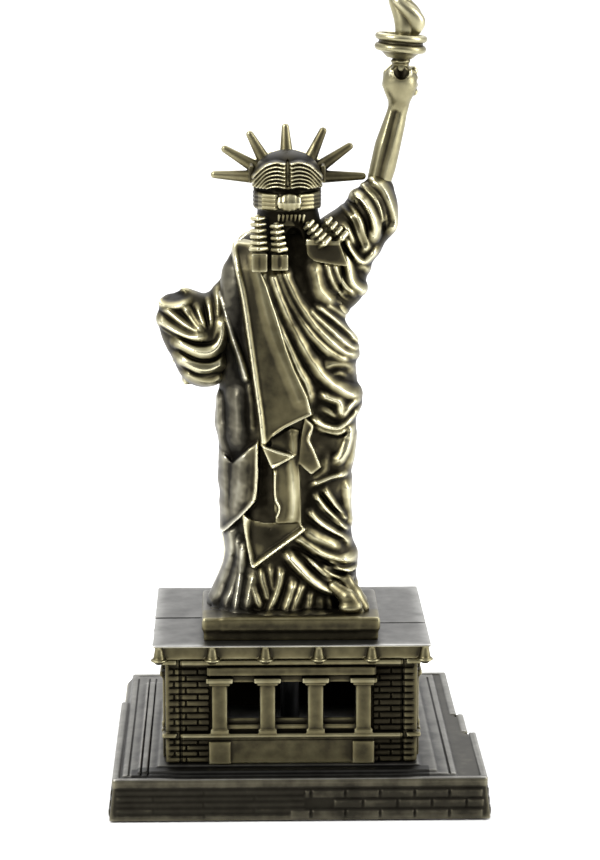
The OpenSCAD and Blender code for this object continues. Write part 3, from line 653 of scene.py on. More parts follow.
for dx in (0.0, 1.7):
    front.ridge([(12 - dx, 119), (7.6 - dx, 108), (1.4 - dx, 98.6), (-5, 91.5), (-12.6, 86)], 0.6,
                1.9, fade=2)
for x in (-5.4, -2.4, 0.6, 3.4):
    front.ridge([(x, 117), (x + 0.3, 110), (x + 1.0, 104 + 0.6 * x)], 0.9, 0.9, fade=2.5)

side = step(robe.y, SEAM - 2.5, SEAM + 2.5)
relief_back = (swell + robe_back_map)[:, None, :]
relief_front = front.h[:, None, :]
plain = base_form + 0.25
robe.d = plain - (relief_back * side + relief_front * (1 - side))
whole = plain - ((swell + full_map)[:, None, :] * side + relief_front * (1 - side))

# Painted highlights on the back, where the light falls on the swellings of thigh, calf and hip and on
# the tail, as place, half sizes and amount.
PAINTED_HIGHLIGHTS = [((-9.6, 76), (2.0, 6), 0.3), ((-11, 51.5), (2.6, 2.2), 0.3),
          ((13.2, 67.5), (1.8, 2.4), 0.16), ((-9.5, 66), (1.8, 3), 0.2),
          ((-6, 56), (3.5, 1.6), 0.1), ((-10, 98), (3, 2), 0.12), ((-9, 88), (3, 2), 0.1),
          ((2.6, 67), (2.4, 7), 0.14), ((1.2, 66), (1.1, 5), 0.16)]
# Painted shade on the back: under the hair, beside the long panel and round its tail, as place, half
# sizes and amount.
PAINTED_SHADE = [((13.2, 70), (4.2, 9), -0.16), ((-2.4, 78), (1, 3), -0.08),
            ((6.5, 57.6), (3.2, 2.4), -0.4), ((7.0, 69), (1.3, 5.5), -0.3),
            ((0.9, 103), (1.2, 5), -0.3), ((-2.6, 95.8), (1.5, 2.4), -0.3),
            ((-4.6, 89), (1.6, 1.6), -0.25), ((9.3, 104), (1.0, 12), -0.12),
            ((6.2, 92), (1.6, 8), -0.1), ((3.0, 79), (2.4, 1.6), -0.3),
            ((-2.2, 64), (1.6, 3.5), -0.28), ((0.6, 46), (9, 3), -0.08),
            ((0.6, 117.5), (3.6, 4.5), -0.5), ((11.4, 117.4), (2.6, 2.2), -0.3),
            ((12.6, 99), (1.3, 9), -0.3), ((10.6, 83), (1.0, 6), -0.35),
            ((-1.4, 109), (1.6, 4), -0.3)]
# The painted highlights and painted shade of the back, as one map.
painted_light_map = Relief(robe)
for at, r, v in PAINTED_HIGHLIGHTS + PAINTED_SHADE:
    painted_light_map.blob(at, r, v)


def back_height(h):
    """A term from relief: high folds are rubbed and low ground keeps its dark patina, with painted
    shade at the foot of the hem and the painted highlights and shade of the back.
    """
    keep = Relief(robe)
    keep.h = h

    def fn(p):
        v = 0.22 * (keep.at(p[:, 0], p[:, 2]) - 0.6)
        # Painted shade along the foot of the hem, where it meets the plinth, deeper on the figure's
        # left.
        foot = (0.3 + 0.2 * step(p[:, 0], 4, 10)) * (1 - step(p[:, 2], 41.6, 44.0))
        return (np.clip(v, -0.18, 0.15) - foot
                + painted_light_map.at(p[:, 0], p[:, 2]) * step(p[:, 1], 12, 16))
    return fn


# The hem trails on the plinth in an uneven rim, most of all beside the heel.
for i, x in enumerate(np.arange(-12.5, 17, 2.1)):
    arc = 13.2 * math.sqrt(max(0.05, 1 - ((x - 2) / 17.8) ** 2))
    size = [2.0, 1.5 + 0.5 * math.sin(2.2 * i), 0.9 + 0.3 * math.sin(1.7 * i)]
    robe.egg([x, SEAM + arc, 41.2], size, k=0.8)
robe.limb([[-10.2, 23.4, 47.5, 1.3], [-11.6, 24.2, 44.4, 1.7], [-13.2, 24.6, 42.0, 1.7]], 1.5)
robe.d = np.maximum(robe.d, 40.9 - robe.z)
both = robe.d
robe.d = blurred(np.maximum(both, SEAM - robe.y), 0.12 / robe.h)
# The back is greyed towards the figure's left side: a painted reflection of the pale surroundings.
mesh_of("robe_back", robe, back_height(robe_back_map), shine=-0.05,
        reflected_grey=lambda p: 0.4 * step(p[:, 0], 8, 13))
robe.d = blurred(np.maximum(both, robe.y - SEAM), 0.12 / robe.h)
mesh_of("robe_front", robe, back_height(front.h))

robe.d = np.maximum(np.maximum(whole, SEAM + 1 - robe.y), -(both + 0.5))
mask_d = (0.5 - blurred(drape_mask[:, None, :].repeat(3, axis=1), 0.7)[:, 1:2, :]) * 1.2
robe.d = blurred(np.maximum(robe.d, mask_d), 0.1 / robe.h)
mesh_of("back_drape", robe, back_height(full_map - 1.2), shine=-0.05)
robe.d = both

# ---------------------------------------------------------------- base and pedestal

PED_X, PED_W, PED_BACK, PED_D = 1.65, 52.4, 32.5, 44.5
PED_Y = PED_BACK - PED_D / 2
PED_Z, PED_TOP = 10.4, 33.0             # foot and top of the pedestal's walls
CAP_Z, PLINTH_Z = 36.5, 41.4            # the deck, and the plate the figure stands on
BAY = 10.0                              # from one pilaster to the next
RNG = np.random.default_rng(7)


def oriented(vol, face, along, lo, hi, r=0.1, how="add", k=0.0):
    """Box given as (u, outward, z) corners on a face: origin along the face at its middle."""
    ox, oy, turn = face
    c, s = math.cos(turn), math.sin(turn)
    xs, ys = [], []
    for u in (lo[0], hi[0]):
        for w in (lo[1], hi[1]):
            xs.append(ox + c * (u + along) - s * w)
            ys.append(oy + s * (u + along) + c * w)
    vol.box([min(xs), min(ys), lo[2]], [max(xs), max(ys), hi[2]], r, how, k)


def brick_rows(vol, face, u0, u1, z0, rows, pitch, length, gap, proud, lean=0.0, worn=0.0,
               start=None):
    """Courses of slightly uneven bricks between u0 and u1, standing proud of a face."""
    for r in range(rows):
        lo_z, hi_z = z0 + r * pitch + gap / 2, z0 + (r + 1) * pitch - gap / 2
        back = -lean * (lo_z + hi_z) / 2
        u = (u0 if start is None else start) - (r % 2) * length / 2
        while u < u1:
            a, b = max(u + gap / 2, u0), min(u + length - gap / 2, u1)
            if b - a > 0.35:
                p = proud * (1 - worn * RNG.random()) + 0.05 * RNG.random()
                oriented(vol, face, 0, [a, back - 0.8, lo_z], [b, back + p, hi_z], 0.16)
            u += length


def bay_bricks(vol, face, a, b, start=None):
    """The pedestal's courses above and below the sill."""
    for z0, rows, pitch in ((17.35, 10, 1.37), (10.6, 4, 1.3)):
        brick_rows(vol, face, a, b, z0, rows, pitch, 4.9, 0.28, 0.05, start=start)


def brick_zone(z):
    """Heights where the brick bays are."""
    return (z > 17.3) & (z < 31.6) | (z < 16.0)


def wall(name, w, ox, oy, turn):
    """One pedestal wall: windows, pilasters, courses, lintel and brick bays."""
    face = (ox, oy, turn)
    c, s = math.cos(turn), math.sin(turn)
    ext = [[ox + c * u - s * v, oy + s * u + c * v] for u in (-w / 2, w / 2) for v in (-3, 2)]
    lo = [min(e[0] for e in ext) - 0.6, min(e[1] for e in ext) - 0.6, PED_Z - 0.8]
    hi = [max(e[0] for e in ext) + 0.6, max(e[1] for e in ext) + 0.6, PED_TOP + 0.8]
    v = Vol(lo, hi, 0.16)
    h = w / 2

    def put(a, b, r=0.12, how="add", k=0.0):
        oriented(v, face, 0, a, b, r, how, k)

    put([-h, -2.4, PED_Z], [h, -0.45, PED_TOP], 0.05)
    for i in (-1, 0, 1):
        put([i * BAY - 3.35, -4, 18.7], [i * BAY + 3.35, 2, 27.9], 0.3, "cut")    # windows
    put([-h, -2, 16.25], [h, 1.0, 17.15], 0.25)              # sill and the fillet below it
    put([-h, -2, 15.6], [h, 0.35, 16.3], 0.15)
    put([-h, -2, 32.0], [h, 1.1, PED_TOP], 0.25)             # top moulding and its fillet
    put([-h, -2, 31.4], [h, 0.1, 32.1], 0.1)
    put([-17.6, -2, 29.7], [17.6, 0.95, 31.5], 0.2)          # lintel
    put([-17.2, -2, PED_Z], [17.2, 0.15, 15.7], 0.1)         # plain panel below the sill
    put([-15, -2, 17.9], [15, 0.2, 18.9], 0.15)              # window ledges, outer and inner
    put([-15, -2, 18.2], [15, -0.9, 20.0], 0.15)
    for i in range(4):
        x = (i - 1.5) * BAY
        put([x - 1.6, -2, 17.1], [x + 1.6, 0.75, 28.2], 0.25)         # pilaster shaft
        put([x - 1.9, -2, 17.1], [x + 1.9, 0.95, 18.1], 0.2)          # its foot
        put([x - 2.8, -2, 28.05], [x + 2.8, 1.3, 29.15], 0.25)        # its head, in two steps
        put([x - 2.2, -2, 27.5], [x + 2.2, 1.0, 28.2], 0.2)
    for x in (-15, 15):
        put([x - 2.3, -2, PED_Z], [x + 2.3, 0.75, 15.4], 0.2)         # outer pedestals
    for a, b in ((-h, -17.1), (17.1, h)):                    # brick bays at both ends
        bay_bricks(v, face, a, b)
    v.soften(0.08)

    def tone(p):
        """What stands proud is rubbed, the brick bays are darker and one end's bays darker still, the
        low middle is lighter and the top band darker; painted shade at the wall's ends, where the
        corner posts meet it.
        """
        u = (p[:, 0] - ox) * c + (p[:, 1] - oy) * s
        out = (p[:, 0] - ox) * -s + (p[:, 1] - oy) * c
        bay = (np.abs(u) > 17.2) & brick_zone(p[:, 2])
        low = (np.abs(u) < 12.7) & (p[:, 2] < 15.6)
        # Painted shade at the wall's ends, where the corner posts meet it.
        ends = np.abs(u) > h - 0.5
        return (0.08 * out - 0.18 - 0.09 * bay + 0.06 * low - 0.08 * (p[:, 2] > 29.2)
                - 0.12 * (u < -17.2) * bay - 0.3 * ends)
    mesh_of(name, v, tone, edge=0.8)


wall("rear_panel", PED_W - 6, PED_X, PED_BACK, 0)
wall("front_panel", PED_W - 6, PED_X, PED_BACK - PED_D, math.pi)
wall("left_panel", PED_D - 6, PED_X + PED_W / 2, PED_Y, -math.pi / 2)
wall("right_panel", PED_D - 6, PED_X - PED_W / 2, PED_Y, math.pi / 2)

# Corner posts: the courses run round them, with a fine bead on the corner.
posts = Vol([PED_X - PED_W / 2 - 1.2, PED_Y - PED_D / 2 - 1.2, PED_Z - 0.8],
            [PED_X + PED_W / 2 + 1.2, PED_Y + PED_D / 2 + 1.2, PED_TOP + 0.8], 0.18)
for sx in (-1, 1):
    for sy in (-1, 1):
        x, y = PED_X + sx * (PED_W / 2 - 1.5), PED_Y + sy * (PED_D / 2 - 1.5)
        posts.box([x - 1.5 + max(0, -sx) * 0.45, y - 1.5 + max(0, -sy) * 0.45, PED_Z],
                  [x + 1.5 - max(0, sx) * 0.45, y + 1.5 - max(0, sy) * 0.45, PED_TOP], 0.1)
        outs = [(x, y + sy * 1.5, 0 if sy > 0 else math.pi), (x + sx * 1.5, y, -sx * math.pi / 2)]
        for ox, oy, turn in outs:
            u = (ox - PED_X) * math.cos(turn) + (oy - PED_Y) * math.sin(turn)
            h = (PED_D if ox != x else PED_W) / 2 - 3
            first = 17.1 - u if u > 0 else -h - u - 4.9
            bay_bricks(posts, (ox, oy, turn), -1.5, 1.5, first)
        bx, by = x + sx * 1.15, y + sy * 1.15
        posts.limb([[bx, by, PED_Z + 0.9, 0.45], [bx, by, PED_TOP - 0.9, 0.45]])
        for out, low, high in ((0.8, 16.2, 17.15), (0.7, 32, PED_TOP)):   # sill and top moulding
            posts.box([x - 1.5 + sx * out, y - 1.5 + sy * out, low],
                      [x + 1.5 + sx * out, y + 1.5 + sy * out, high], 0.2)
posts.soften(0.1)


def post_tone(p):
    """As dark as the bays, with painted shade where a post meets a wall."""
    dx = np.abs(p[:, 0] - PED_X) < PED_W / 2 - 2.6
    dy = np.abs(p[:, 1] - PED_Y) < PED_D / 2 - 2.6
    return np.where(brick_zone(p[:, 2]), -0.26, -0.16) - 0.3 * (dx | dy)


mesh_of("corner_posts", posts, post_tone, edge=0.8)

# Cornice cap: deck, cove and the little tapering posts under its edge.
cap = Vol([-28.6, -15.4, 32.2], [31.8, 35.9, 37.3], 0.2)
cap.box([-25.9, -12.6, PED_TOP], [29.0, 33.0, 36.2], 0.15)
cap.box([-27.4, -14.0, 36.0], [30.5, 34.5, CAP_Z], 0.2)
CAP_X, STUD_PITCH = 1.55, 11.05
spots = [(CAP_X + i * STUD_PITCH, y) for i in np.arange(-2.5, 3) for y in (33.5, -13.0)]
spots += [(CAP_X + s * 2.5 * STUD_PITCH, PED_Y + i * STUD_PITCH) for i in (-1, 0, 1) for s in (-1, 1)]
for x, y in spots:
    cap.limb([[x, y, 33.4, 1.25], [x, y, 35.5, 0.85]], 0.1)
    cap.egg([x, y, 33.25], [1.8, 1.8, 0.4], k=0.15)
cap.box([-28.4, 16.8, CAP_Z - 0.35], [-17.4, 17.2, CAP_Z + 1], 0.1, "cut")
cap.box([20.8, 11.8, CAP_Z - 0.35], [31.4, 12.2, CAP_Z + 1], 0.1, "cut")
cap.soften(0.12)
DECK_NOISE = np.random.default_rng(11)
WAVES = [(DECK_NOISE.uniform(0.15, 0.8, 2) * DECK_NOISE.choice([-1, 1], 2),
          DECK_NOISE.uniform(0, 6.3)) for _ in range(9)]


def mottle(p):
    """Faint cloudy unevenness over a flat surface, about -1 to 1."""
    return sum(np.sin(p[:, 0] * k[0] + p[:, 1] * k[1] + f) for k, f in WAVES) / 4


def cap_tone(p):
    """Satin deck, with a dark line scribed across it on both sides."""
    line = np.where(p[:, 0] > 0, 12, 17)
    scribed = (np.abs(p[:, 1] - line) < 0.5) & (p[:, 2] > 36)
    deck = p[:, 2] > CAP_Z - 0.2
    return -0.03 + deck * (0.03 * mottle(p) - 0.01) - np.where(p[:, 0] > 0, 0.5, 0.25) * scribed


# The deck's top is greyed: a painted reflection of the pale surroundings.
mesh_of("cornice_cap", cap, cap_tone, edge=0.75, reflected_grey=lambda p: 0.85 * (p[:, 2] > CAP_Z - 0.25))

plinth = Vol([-17.8, -4, 35.8], [21.2, 32.2, 42.2], 0.2)
PLINTH_STEP = 7                          # the plinth is narrower in front of this
for x0, x1, y0 in ((-16.8, 20.2, PLINTH_STEP), (-12.6, 16.2, -3)):
    plinth.box([x0 + 0.3, y0 + 0.3, CAP_Z], [x1 - 0.3, 30.7, PLINTH_Z - 0.9], 0.3)
    plinth.box([x0, y0, CAP_Z + 2.2], [x1, 31, PLINTH_Z], 0.55, k=0.8)
plinth.soften(0.12)
# The plinth's top, short of its back edge, is greyed: a painted reflection of the pale surroundings.
mesh_of("figure_plinth", plinth, lambda p: 0.04 * (p[:, 2] - 41.4) - 0.07 + 0.02 * mottle(p),
        edge=0.8, reflected_grey=lambda p: 0.7 * ((p[:, 2] > 41.2) & (p[:, 1] < 24)))

# Base casting: battered slab with stepped flanks, brick courses and mitred skirting steps.
BASE_H, LEAN = 9.2, 1.1 / 9.2
# Low x, high x, low y and high y of the blocks that make up the slab's stepped plan.
SLAB = [(-36.8, 38.2, -40, 40), (-38.3, 38.2, -6, 40), (-40, 40, 7, 40), (-36.8, 40, -17, 40)]
base = Vol([-41.2, -41.2, -0.8], [41.2, 41.2, 11.4], 0.25)


def beyond(x, y, i, x0, x1, y0, y1):
    """How far points lie outside a rectangle drawn in by i."""
    return np.maximum(np.maximum(x0 + i - x, x - x1 + i), np.maximum(y0 + i - y, y - y1 + i))


def slab(x, y, z):
    """Battered slab, the union of its blocks."""
    d = 1e3
    for block in SLAB:
        e = beyond(x, y, LEAN * z, *block)
        d = np.minimum(d, np.maximum(e * 0.993, np.maximum(-z, z - BASE_H)))
    return np.maximum(d + 0.3, z - BASE_H)


base.field(slab, [-40, -40, 0], [40, 40, BASE_H])
SIDES = [((0, 40, 0), -38.2, 38.2), ((0, -40, math.pi), -36.6, 35.2),
         ((40, 0, -math.pi / 2), -38.2, 16.2), ((38.2, 0, -math.pi / 2), 17.2, 38.2),
         ((-40, 0, math.pi / 2), 8.2, 38.2), ((-38.3, 0, math.pi / 2), -5.2, 6.4),
         ((-36.8, 0, math.pi / 2), -38.2, -6.4)]
for face, a, b in SIDES:
    if face[1] == 40:                      # the courses of one half are rubbed almost smooth
        for r, end in enumerate((2, -7, -1)):
            brick_rows(base, face, a, end, 0.6 + 2.1 * r, 1, 2.1, 7.2, 0.5, 0.03, LEAN, 0.6,
                       a - 3.6 * (r % 2))
        brick_rows(base, face, -1, b, 0.6, 5, 1.26, 21, 0.3, -0.2, LEAN, 0.3)
    else:
        brick_rows(base, face, a, b, 0.6, 3, 2.1, 7.2, 0.5, 0.03, LEAN, 0.6)
    back_off = -LEAN * 8.1
    oriented(base, face, 0, [a - 0.6, back_off - 1.5, 7.15], [b + 0.6, back_off + 0.02, BASE_H], 0.3)


def skirt(x0, x1, y0, y1, top):
    """One step of the skirting on top of the slab, with mitred sloping sides."""
    def fn(x, y, z):
        e = beyond(x, y, 0.8 * (z - BASE_H), x0, x1, y0, y1)
        return np.maximum(e * 0.8, z - top)
    base.field(fn, [x0, y0, BASE_H - 1], [x1, y1, top])


skirt(-32.7, 37.0, -36, 37.2, 9.5)
skirt(-29.2, 34.2, -30, 36.6, 10.0)
skirt(-25.9, 30.6, -15, 34.2, 10.4)
for x in (-38.2, -36.0, -31.2, 31.6, 33.0, 35.6):
    base.box([x - 0.12, -34, BASE_H - 0.2], [x + 0.12, 37, BASE_H + 0.9], 0.05, "cut", 0.1)
base.box([-33.4, -36.6, -1], [34.8, 36.6, 7.1], 0.5, "cut")
base.soften(0.12)


def base_tone(p):
    """Flat tops are lighter, a painted reflection of the pale surroundings; the slab's upper band and
    walls are darker; painted shade along the foot of the pedestal's back, and the lip of the back edge
    a little darker.
    """
    foot = (p[:, 1] > 33.4) & (p[:, 1] < 37.6) & (p[:, 2] > 8.8) & (np.abs(p[:, 0] - 4) < 31)
    lip = (np.abs(p[:, 2] - BASE_H + 0.2) < 0.5) & (p[:, 1] > 37.5)
    return (np.where(p[:, 2] > 9.05, -0.06, np.where(p[:, 2] > 7.2, -0.15, -0.24)) - 0.25 * foot
            - 0.1 * lip + 0.03 * mottle(p))


# Tops greyed strongly and the walls a little: a painted reflection of the pale surroundings.
mesh_of("base_casting", base, base_tone, edge=0.8,
        reflected_grey=lambda p: np.where(p[:, 2] > 9.0, 0.75, 0.3))

# ---------------------------------------------------------------- sleeves


def folded(vol, rel, split, width=2.0):
    """Lay a relief on the back of a form, fading out in front of the plane y = split."""
    w = step(vol.y, split - width, split + width)
    vol.d = vol.d - rel.h[:, None, :] * w


ls = Vol([12, -1, 84.5], [32.5, 23.5, 113.5], 0.2)
ls.limb([[13.2, 14, 110.5, 2.4], [15.2, 14, 105, 3.4], [18.2, 14, 99, 5.2], [19.4, 13.8, 94, 5.6],
         [19.6, 13.6, 92.4, 4.8]], 2.0)
ls.limb([[19.8, 13.6, 93, 4.4], [23.6, 12.4, 99, 4.6], [26.4, 11.6, 101.6, 2.9]], 2.5)
ls.limb([[19.4, 13, 102.5, 4.2], [23.4, 12.4, 104, 3.4], [26.6, 11.4, 104.6, 2.0]], 2.0)
ls.limb([[24.6, 11, 102, 3.0], [24.8, 6.8, 101.2, 3.1]], 1.5)
ls.egg([24.8, 4.4, 101.2], [2.7, 1.8, 2.5], "cut", 0.4)
lr = Relief(ls)
lr.blob((20, 93), (5, 4), 0.5)
LEFT_FOLDS = [
    ([(25.6, 97.8), (22.4, 96.3), (19.2, 95.6), (16.8, 96.6), (15.7, 99), (15.6, 103)], 0.95, 1.5),
    ([(25.2, 94.6), (21.6, 92.4), (18.4, 92.0), (15.0, 93.6)], 1.05, 1.4),
    ([(24, 91.2), (20.6, 89.4), (17.6, 89.0), (15, 90.4)], 0.8, 0.9),
    ([(29.6, 102.0), (26, 100.0), (22.6, 98.8), (19.4, 99.0)], 0.75, 1.4),
    ([(28.4, 104.6), (25.4, 102.4), (22.4, 100.6), (19.8, 99.4)], 0.6, 1.1),
    ([(24.0, 105.2), (22.2, 103), (19.8, 99.6)], 0.55, 1.3),
    ([(21.2, 105.4), (20.4, 103.2), (19.2, 100.4)], 0.4, 0.9),
    ([(18.8, 106.6), (18.2, 103.6), (18.0, 101)], 0.5, 0.8),
    ([(17.0, 108.6), (16.6, 105.6), (16.4, 102)], 0.5, 0.8),
    ([(29.0, 106.6), (28.8, 105), (26.8, 104.6), (24.6, 104.9), (22.4, 105.8)], 0.5, 1.0),
    ([(28.8, 107.2), (26, 108.2), (22.6, 108.2)], 0.5, 0.6),
]
lay(lr, LEFT_FOLDS, 2)
for path in ([(29, 100.6), (25.2, 98.9), (21, 97.3), (17.6, 97.8), (16.2, 100.4)],
             [(25.4, 96), (21.6, 94.2), (18, 93.9), (15.6, 95.2)],
             [(24.6, 92.6), (20.6, 90.8), (16.4, 91.2)],
             [(23.2, 104.6), (21.4, 102), (20.2, 100.4)], [(19.6, 106), (18.9, 103), (18.6, 100.4)]):
    lr.groove(path, 0.5, 0.55)
lr.blob((25.6, 106.7), (2.2, 0.8), -0.9)
folded(ls, lr, 12)
ls.soften(0.1)
mesh_of("left_sleeve", ls, lambda p: np.clip(0.26 * (lr.at(p[:, 0], p[:, 2]) - 0.5), -0.3, 0.24))

rs = Vol([-23.5, 4, 99], [0.5, 24, 134], 0.2)
rs.limb([[-4.5, 14.6, 116, 5.6], [-9.2, 13.6, 119.0, 4.9], [-14.2, 12.6, 122.8, 4.9],
         [-16.4, 11.4, 126.4, 3.9], [-17.2, 10.8, 128.8, 2.7]], 2.0)
rs.limb([[-10.4, 14.2, 114.6, 4.2], [-14.0, 13.6, 117.4, 3.4], [-17.2, 12.2, 121.2, 2.9],
         [-17.6, 11.4, 125, 3.0]], 1.5)
rs.limb([[-7.0, 14.8, 104.2, 3.2], [-9.6, 14.6, 108.6, 4.0], [-11.0, 14.2, 113.4, 4.0]], 2.0)
rr = Relief(rs)
RIGHT_FOLDS = [
    ([(-14.6, 131.4), (-17.8, 129.2), (-19.4, 126), (-20.4, 122.4), (-19.4, 119.8)], 0.75, 1.3),
    ([(-12.6, 130.6), (-15.6, 128.2), (-17.2, 125.4), (-18.2, 121.6)], 0.6, 1.3),
    ([(-10.8, 128.4), (-13.6, 126.8), (-15.3, 124), (-16.2, 121), (-15.2, 118.4)], 0.9, 1.7),
    ([(-10.6, 124.9), (-12.4, 122.8), (-13.2, 120), (-14.2, 117.4), (-13.4, 116.2)], 0.75, 1.5),
    ([(-9.6, 122.4), (-10.8, 120), (-11.9, 117.5)], 0.5, 1.0),
    ([(-9.8, 119.4), (-11.2, 116.4), (-13.4, 114.2), (-15.2, 115.2), (-16.6, 117)], 0.6, 1.4),
    ([(-9.8, 116.2), (-10.5, 113), (-11.4, 110), (-13.2, 108.4), (-14.8, 108)], 0.8, 1.5),
    ([(-12.2, 113.6), (-14.0, 113.0), (-15.2, 111.6)], 0.6, 0.9),
    *SHOULDER[:2],
    ([(-7.4, 115), (-8.4, 112), (-9.8, 109.4), (-12.2, 107.4)], 0.6, 1.2),
    ([(-6.6, 105.6), (-8.6, 104.6), (-10.6, 102.6)], 0.6, 0.9),
]
lay(rr, RIGHT_FOLDS, 1.9)
for path in ([(-13.2, 130.6), (-16.8, 127), (-18, 123), (-17.6, 119.6)],
             [(-9, 126.6), (-11.8, 123.4), (-13.4, 119.4), (-14.4, 117)],
             [(-12.2, 127.2), (-14.2, 124), (-15, 120.6)],
             [(-8.4, 121), (-9.8, 117.4), (-11.6, 114.6)], [(-7.4, 112), (-9.2, 108), (-11, 106.6)]):
    rr.groove(path, 0.55, 0.6)
folded(rs, rr, 12)
rs.soften(0.1)
mesh_of("right_sleeve", rs, lambda p: np.clip(0.26 * (rr.at(p[:, 0], p[:, 2]) - 0.6), -0.3, 0.2))

# ---------------------------------------------------------------- arms, tablet and torch

TX, TY = -21.5, 10.2                    # axis of the torch
arm = Vol([-27.5, 3.5, 125], [-13, 17, 157], 0.18)
arm.limb([[-16.4, 10.8, 127.5, 2.4], [-17.9, 10.5, 133, 2.75], [-18.9, 10.4, 137.5, 2.75],
          [-20.2, 10.3, 142, 2.4], [-21.2, 10.2, 146, 2.0]])
arm.limb([[-21.2, 10.2, 145.6, 2.0], [-21.3, 10.6, 148.4, 2.7], [-21.3, 10.9, 151.2, 2.9]], 0.6)
arm.soften(0.5)
channel = Relief(arm)
channel.ridge([(-16.6, 129), (-18.0, 135), (-19.3, 140), (-20.6, 145.2)], 1.0, 0.4, fade=0.5)
arm.d = arm.d + channel.h[:, None, :] * step(arm.y, 10, 12)
arm.egg([-21.3, 11.2, 150.6], [3.55, 2.6, 3.6], k=1.0)
for i in range(4):
    z = 153.0 - 1.45 * i
    arm.limb([[-24.3, 10.4, z, 0.85], [-24.2, 8.0, z, 0.85], [-22.4, 6.9, z, 0.85],
              [-20.3, 7.2, z - 0.1, 0.75]], 0.12)
arm.limb([[-18.6, 10.8, 150.2, 1.0], [-18.9, 8.6, 152.4, 0.9], [-20.4, 7.4, 153.9, 0.75]], 0.2)
for x in (-23.1, -21.9, -20.7, -19.6):
    arm.egg([x, 13.2, 152.9], [0.75, 0.8, 0.9], k=0.5)
arm.soften(0.1)
arm.egg([TX, 13.4, 153.6], [1.7, 1.7, 2.2], "cut", 0.4)


def arm_tone(p):
    """Dark channel down the arm, and painted shade in the pocket where the torch's stem goes in."""
    # Painted shade in the pocket for the torch's stem.
    pocket = np.exp(-((p[:, 0] - TX) / 1.6) ** 2 - ((p[:, 2] - 153.4) / 1.8) ** 2)
    return (-0.55 * channel.at(p[:, 0], p[:, 2]) - 0.5 * pocket) * (p[:, 1] > 10)


mesh_of("right_arm", arm, arm_tone, shine=0.14, edge=0.9)

torch = Vol([-28.5, 3.5, 146], [-15.5, 17, 163.5], 0.16)
torch.limb([[TX, TY, 147.4, 1.0], [TX, TY, 154.4, 1.5]])
torch.limb([[TX, TY, 153.8, 1.75], [TX, TY, 157, 1.6]], 0.2)
torch.egg([TX, TY, 155.0], [2.1, 2.1, 0.6], k=0.3)
TILT = math.radians(-5)


def gallery(x, y, z):
    """Two rims with a dark groove between, tilted a little."""
    c, s = math.cos(TILT), math.sin(TILT)
    u, w = (x - TX) * c - (z - 158.7) * s, (x - TX) * s + (z - 158.7) * c
    r = np.sqrt(u * u + (y - TY) ** 2)
    core = np.maximum(r - 4.6, np.abs(w) - 1.5)
    low = np.sqrt(np.maximum(r - 4.55, 0) ** 2 + (w + 0.95) ** 2) - 0.85
    top = np.sqrt(np.maximum(r - 4.7, 0) ** 2 + (w - 1.2) ** 2) - 0.75
    cone = np.maximum(r - (4.9 + 1.1 * (w + 1.0)), np.abs(w + 2.0) - 1.1) * 0.67
    dish = np.maximum(r - 4.2, np.abs(w - 2.0) - 0.5)
    return np.maximum(np.minimum(np.minimum(core, cone), np.minimum(low, top)), -dish)


torch.field(gallery, [TX - 5.6, TY - 5.6, 155.4], [TX + 5.6, TY + 5.6, 161.4])
torch.soften(0.1)
mesh_of("torch", torch, shine=0.08, edge=0.8)

flame = Vol([-29, 5, 159.2], [-17, 15.5, 171.3], 0.15)


def tongue(x, y, z):
    """Twisting flame with three grooves, leaning as it rises."""
    u = np.clip((z - 160.0) / 11.0, 0, 1)
    cx = TX - 0.9 - 1.3 * np.sin(math.pi * np.minimum(u * 1.5, 1)) + 2.0 * u ** 1.6
    r0 = 3.3 * np.sin(0.75 + 2.38 * u) ** 0.9 + 0.05
    px, py = x - cx, (y - TY) * 1.2
    r = np.sqrt(px * px + py * py)
    t = np.arctan2(py, px) + 2.4 * u
    lobes = np.abs(np.sin(1.5 * t)) ** 0.8
    return np.maximum((r - r0 * (0.78 + 0.24 * lobes)) * 0.8, 159.8 - z)


flame.field(tongue, [-27.5, 6.5, 160], [-18, 14, 171])
flame.soften(0.08)
mesh_of("flame", flame, shine=0.2, edge=0.9)

tab = Vol([9.1, -8, 82.5], [27.1, 4.5, 105.5], 0.2)
TAB_C = (18.2, -2.2, 93.8)
TAB_ROT = Matrix.Rotation(math.radians(12), 3, "Z") @ Matrix.Rotation(math.radians(-8), 3, "X")


def slate(x, y, z):
    """Flat tablet with a raised rim and nothing written on it."""
    p = [x - TAB_C[0], y - TAB_C[1], z - TAB_C[2]]
    u, v, w = (sum(TAB_ROT[j][i] * p[j] for j in range(3)) for i in range(3))
    def bx(a, b, c, r):
        q = [np.abs(u) - a + r, np.abs(v) - b + r, np.abs(w) - c + r]
        o = np.sqrt(sum(np.maximum(e, 0) ** 2 for e in q))
        return o + np.minimum(np.maximum(q[0], np.maximum(q[1], q[2])), 0) - r
    inner = np.maximum(np.maximum(np.abs(u) - 4.9, np.abs(w) - 7.7), np.abs(v + 1.6) - 0.45)
    lip = np.maximum(np.maximum(np.abs(u) - 4.1, np.abs(w) - 6.9), np.abs(v + 1.4) - 0.3)
    return np.minimum(np.maximum(bx(6.1, 1.35, 8.9, 0.4), -inner), lip)


tab.field(slate, [10.6, -6, 84], [25.6, 3, 104])
tab.soften(0.1)
mesh_of("tablet", tab)

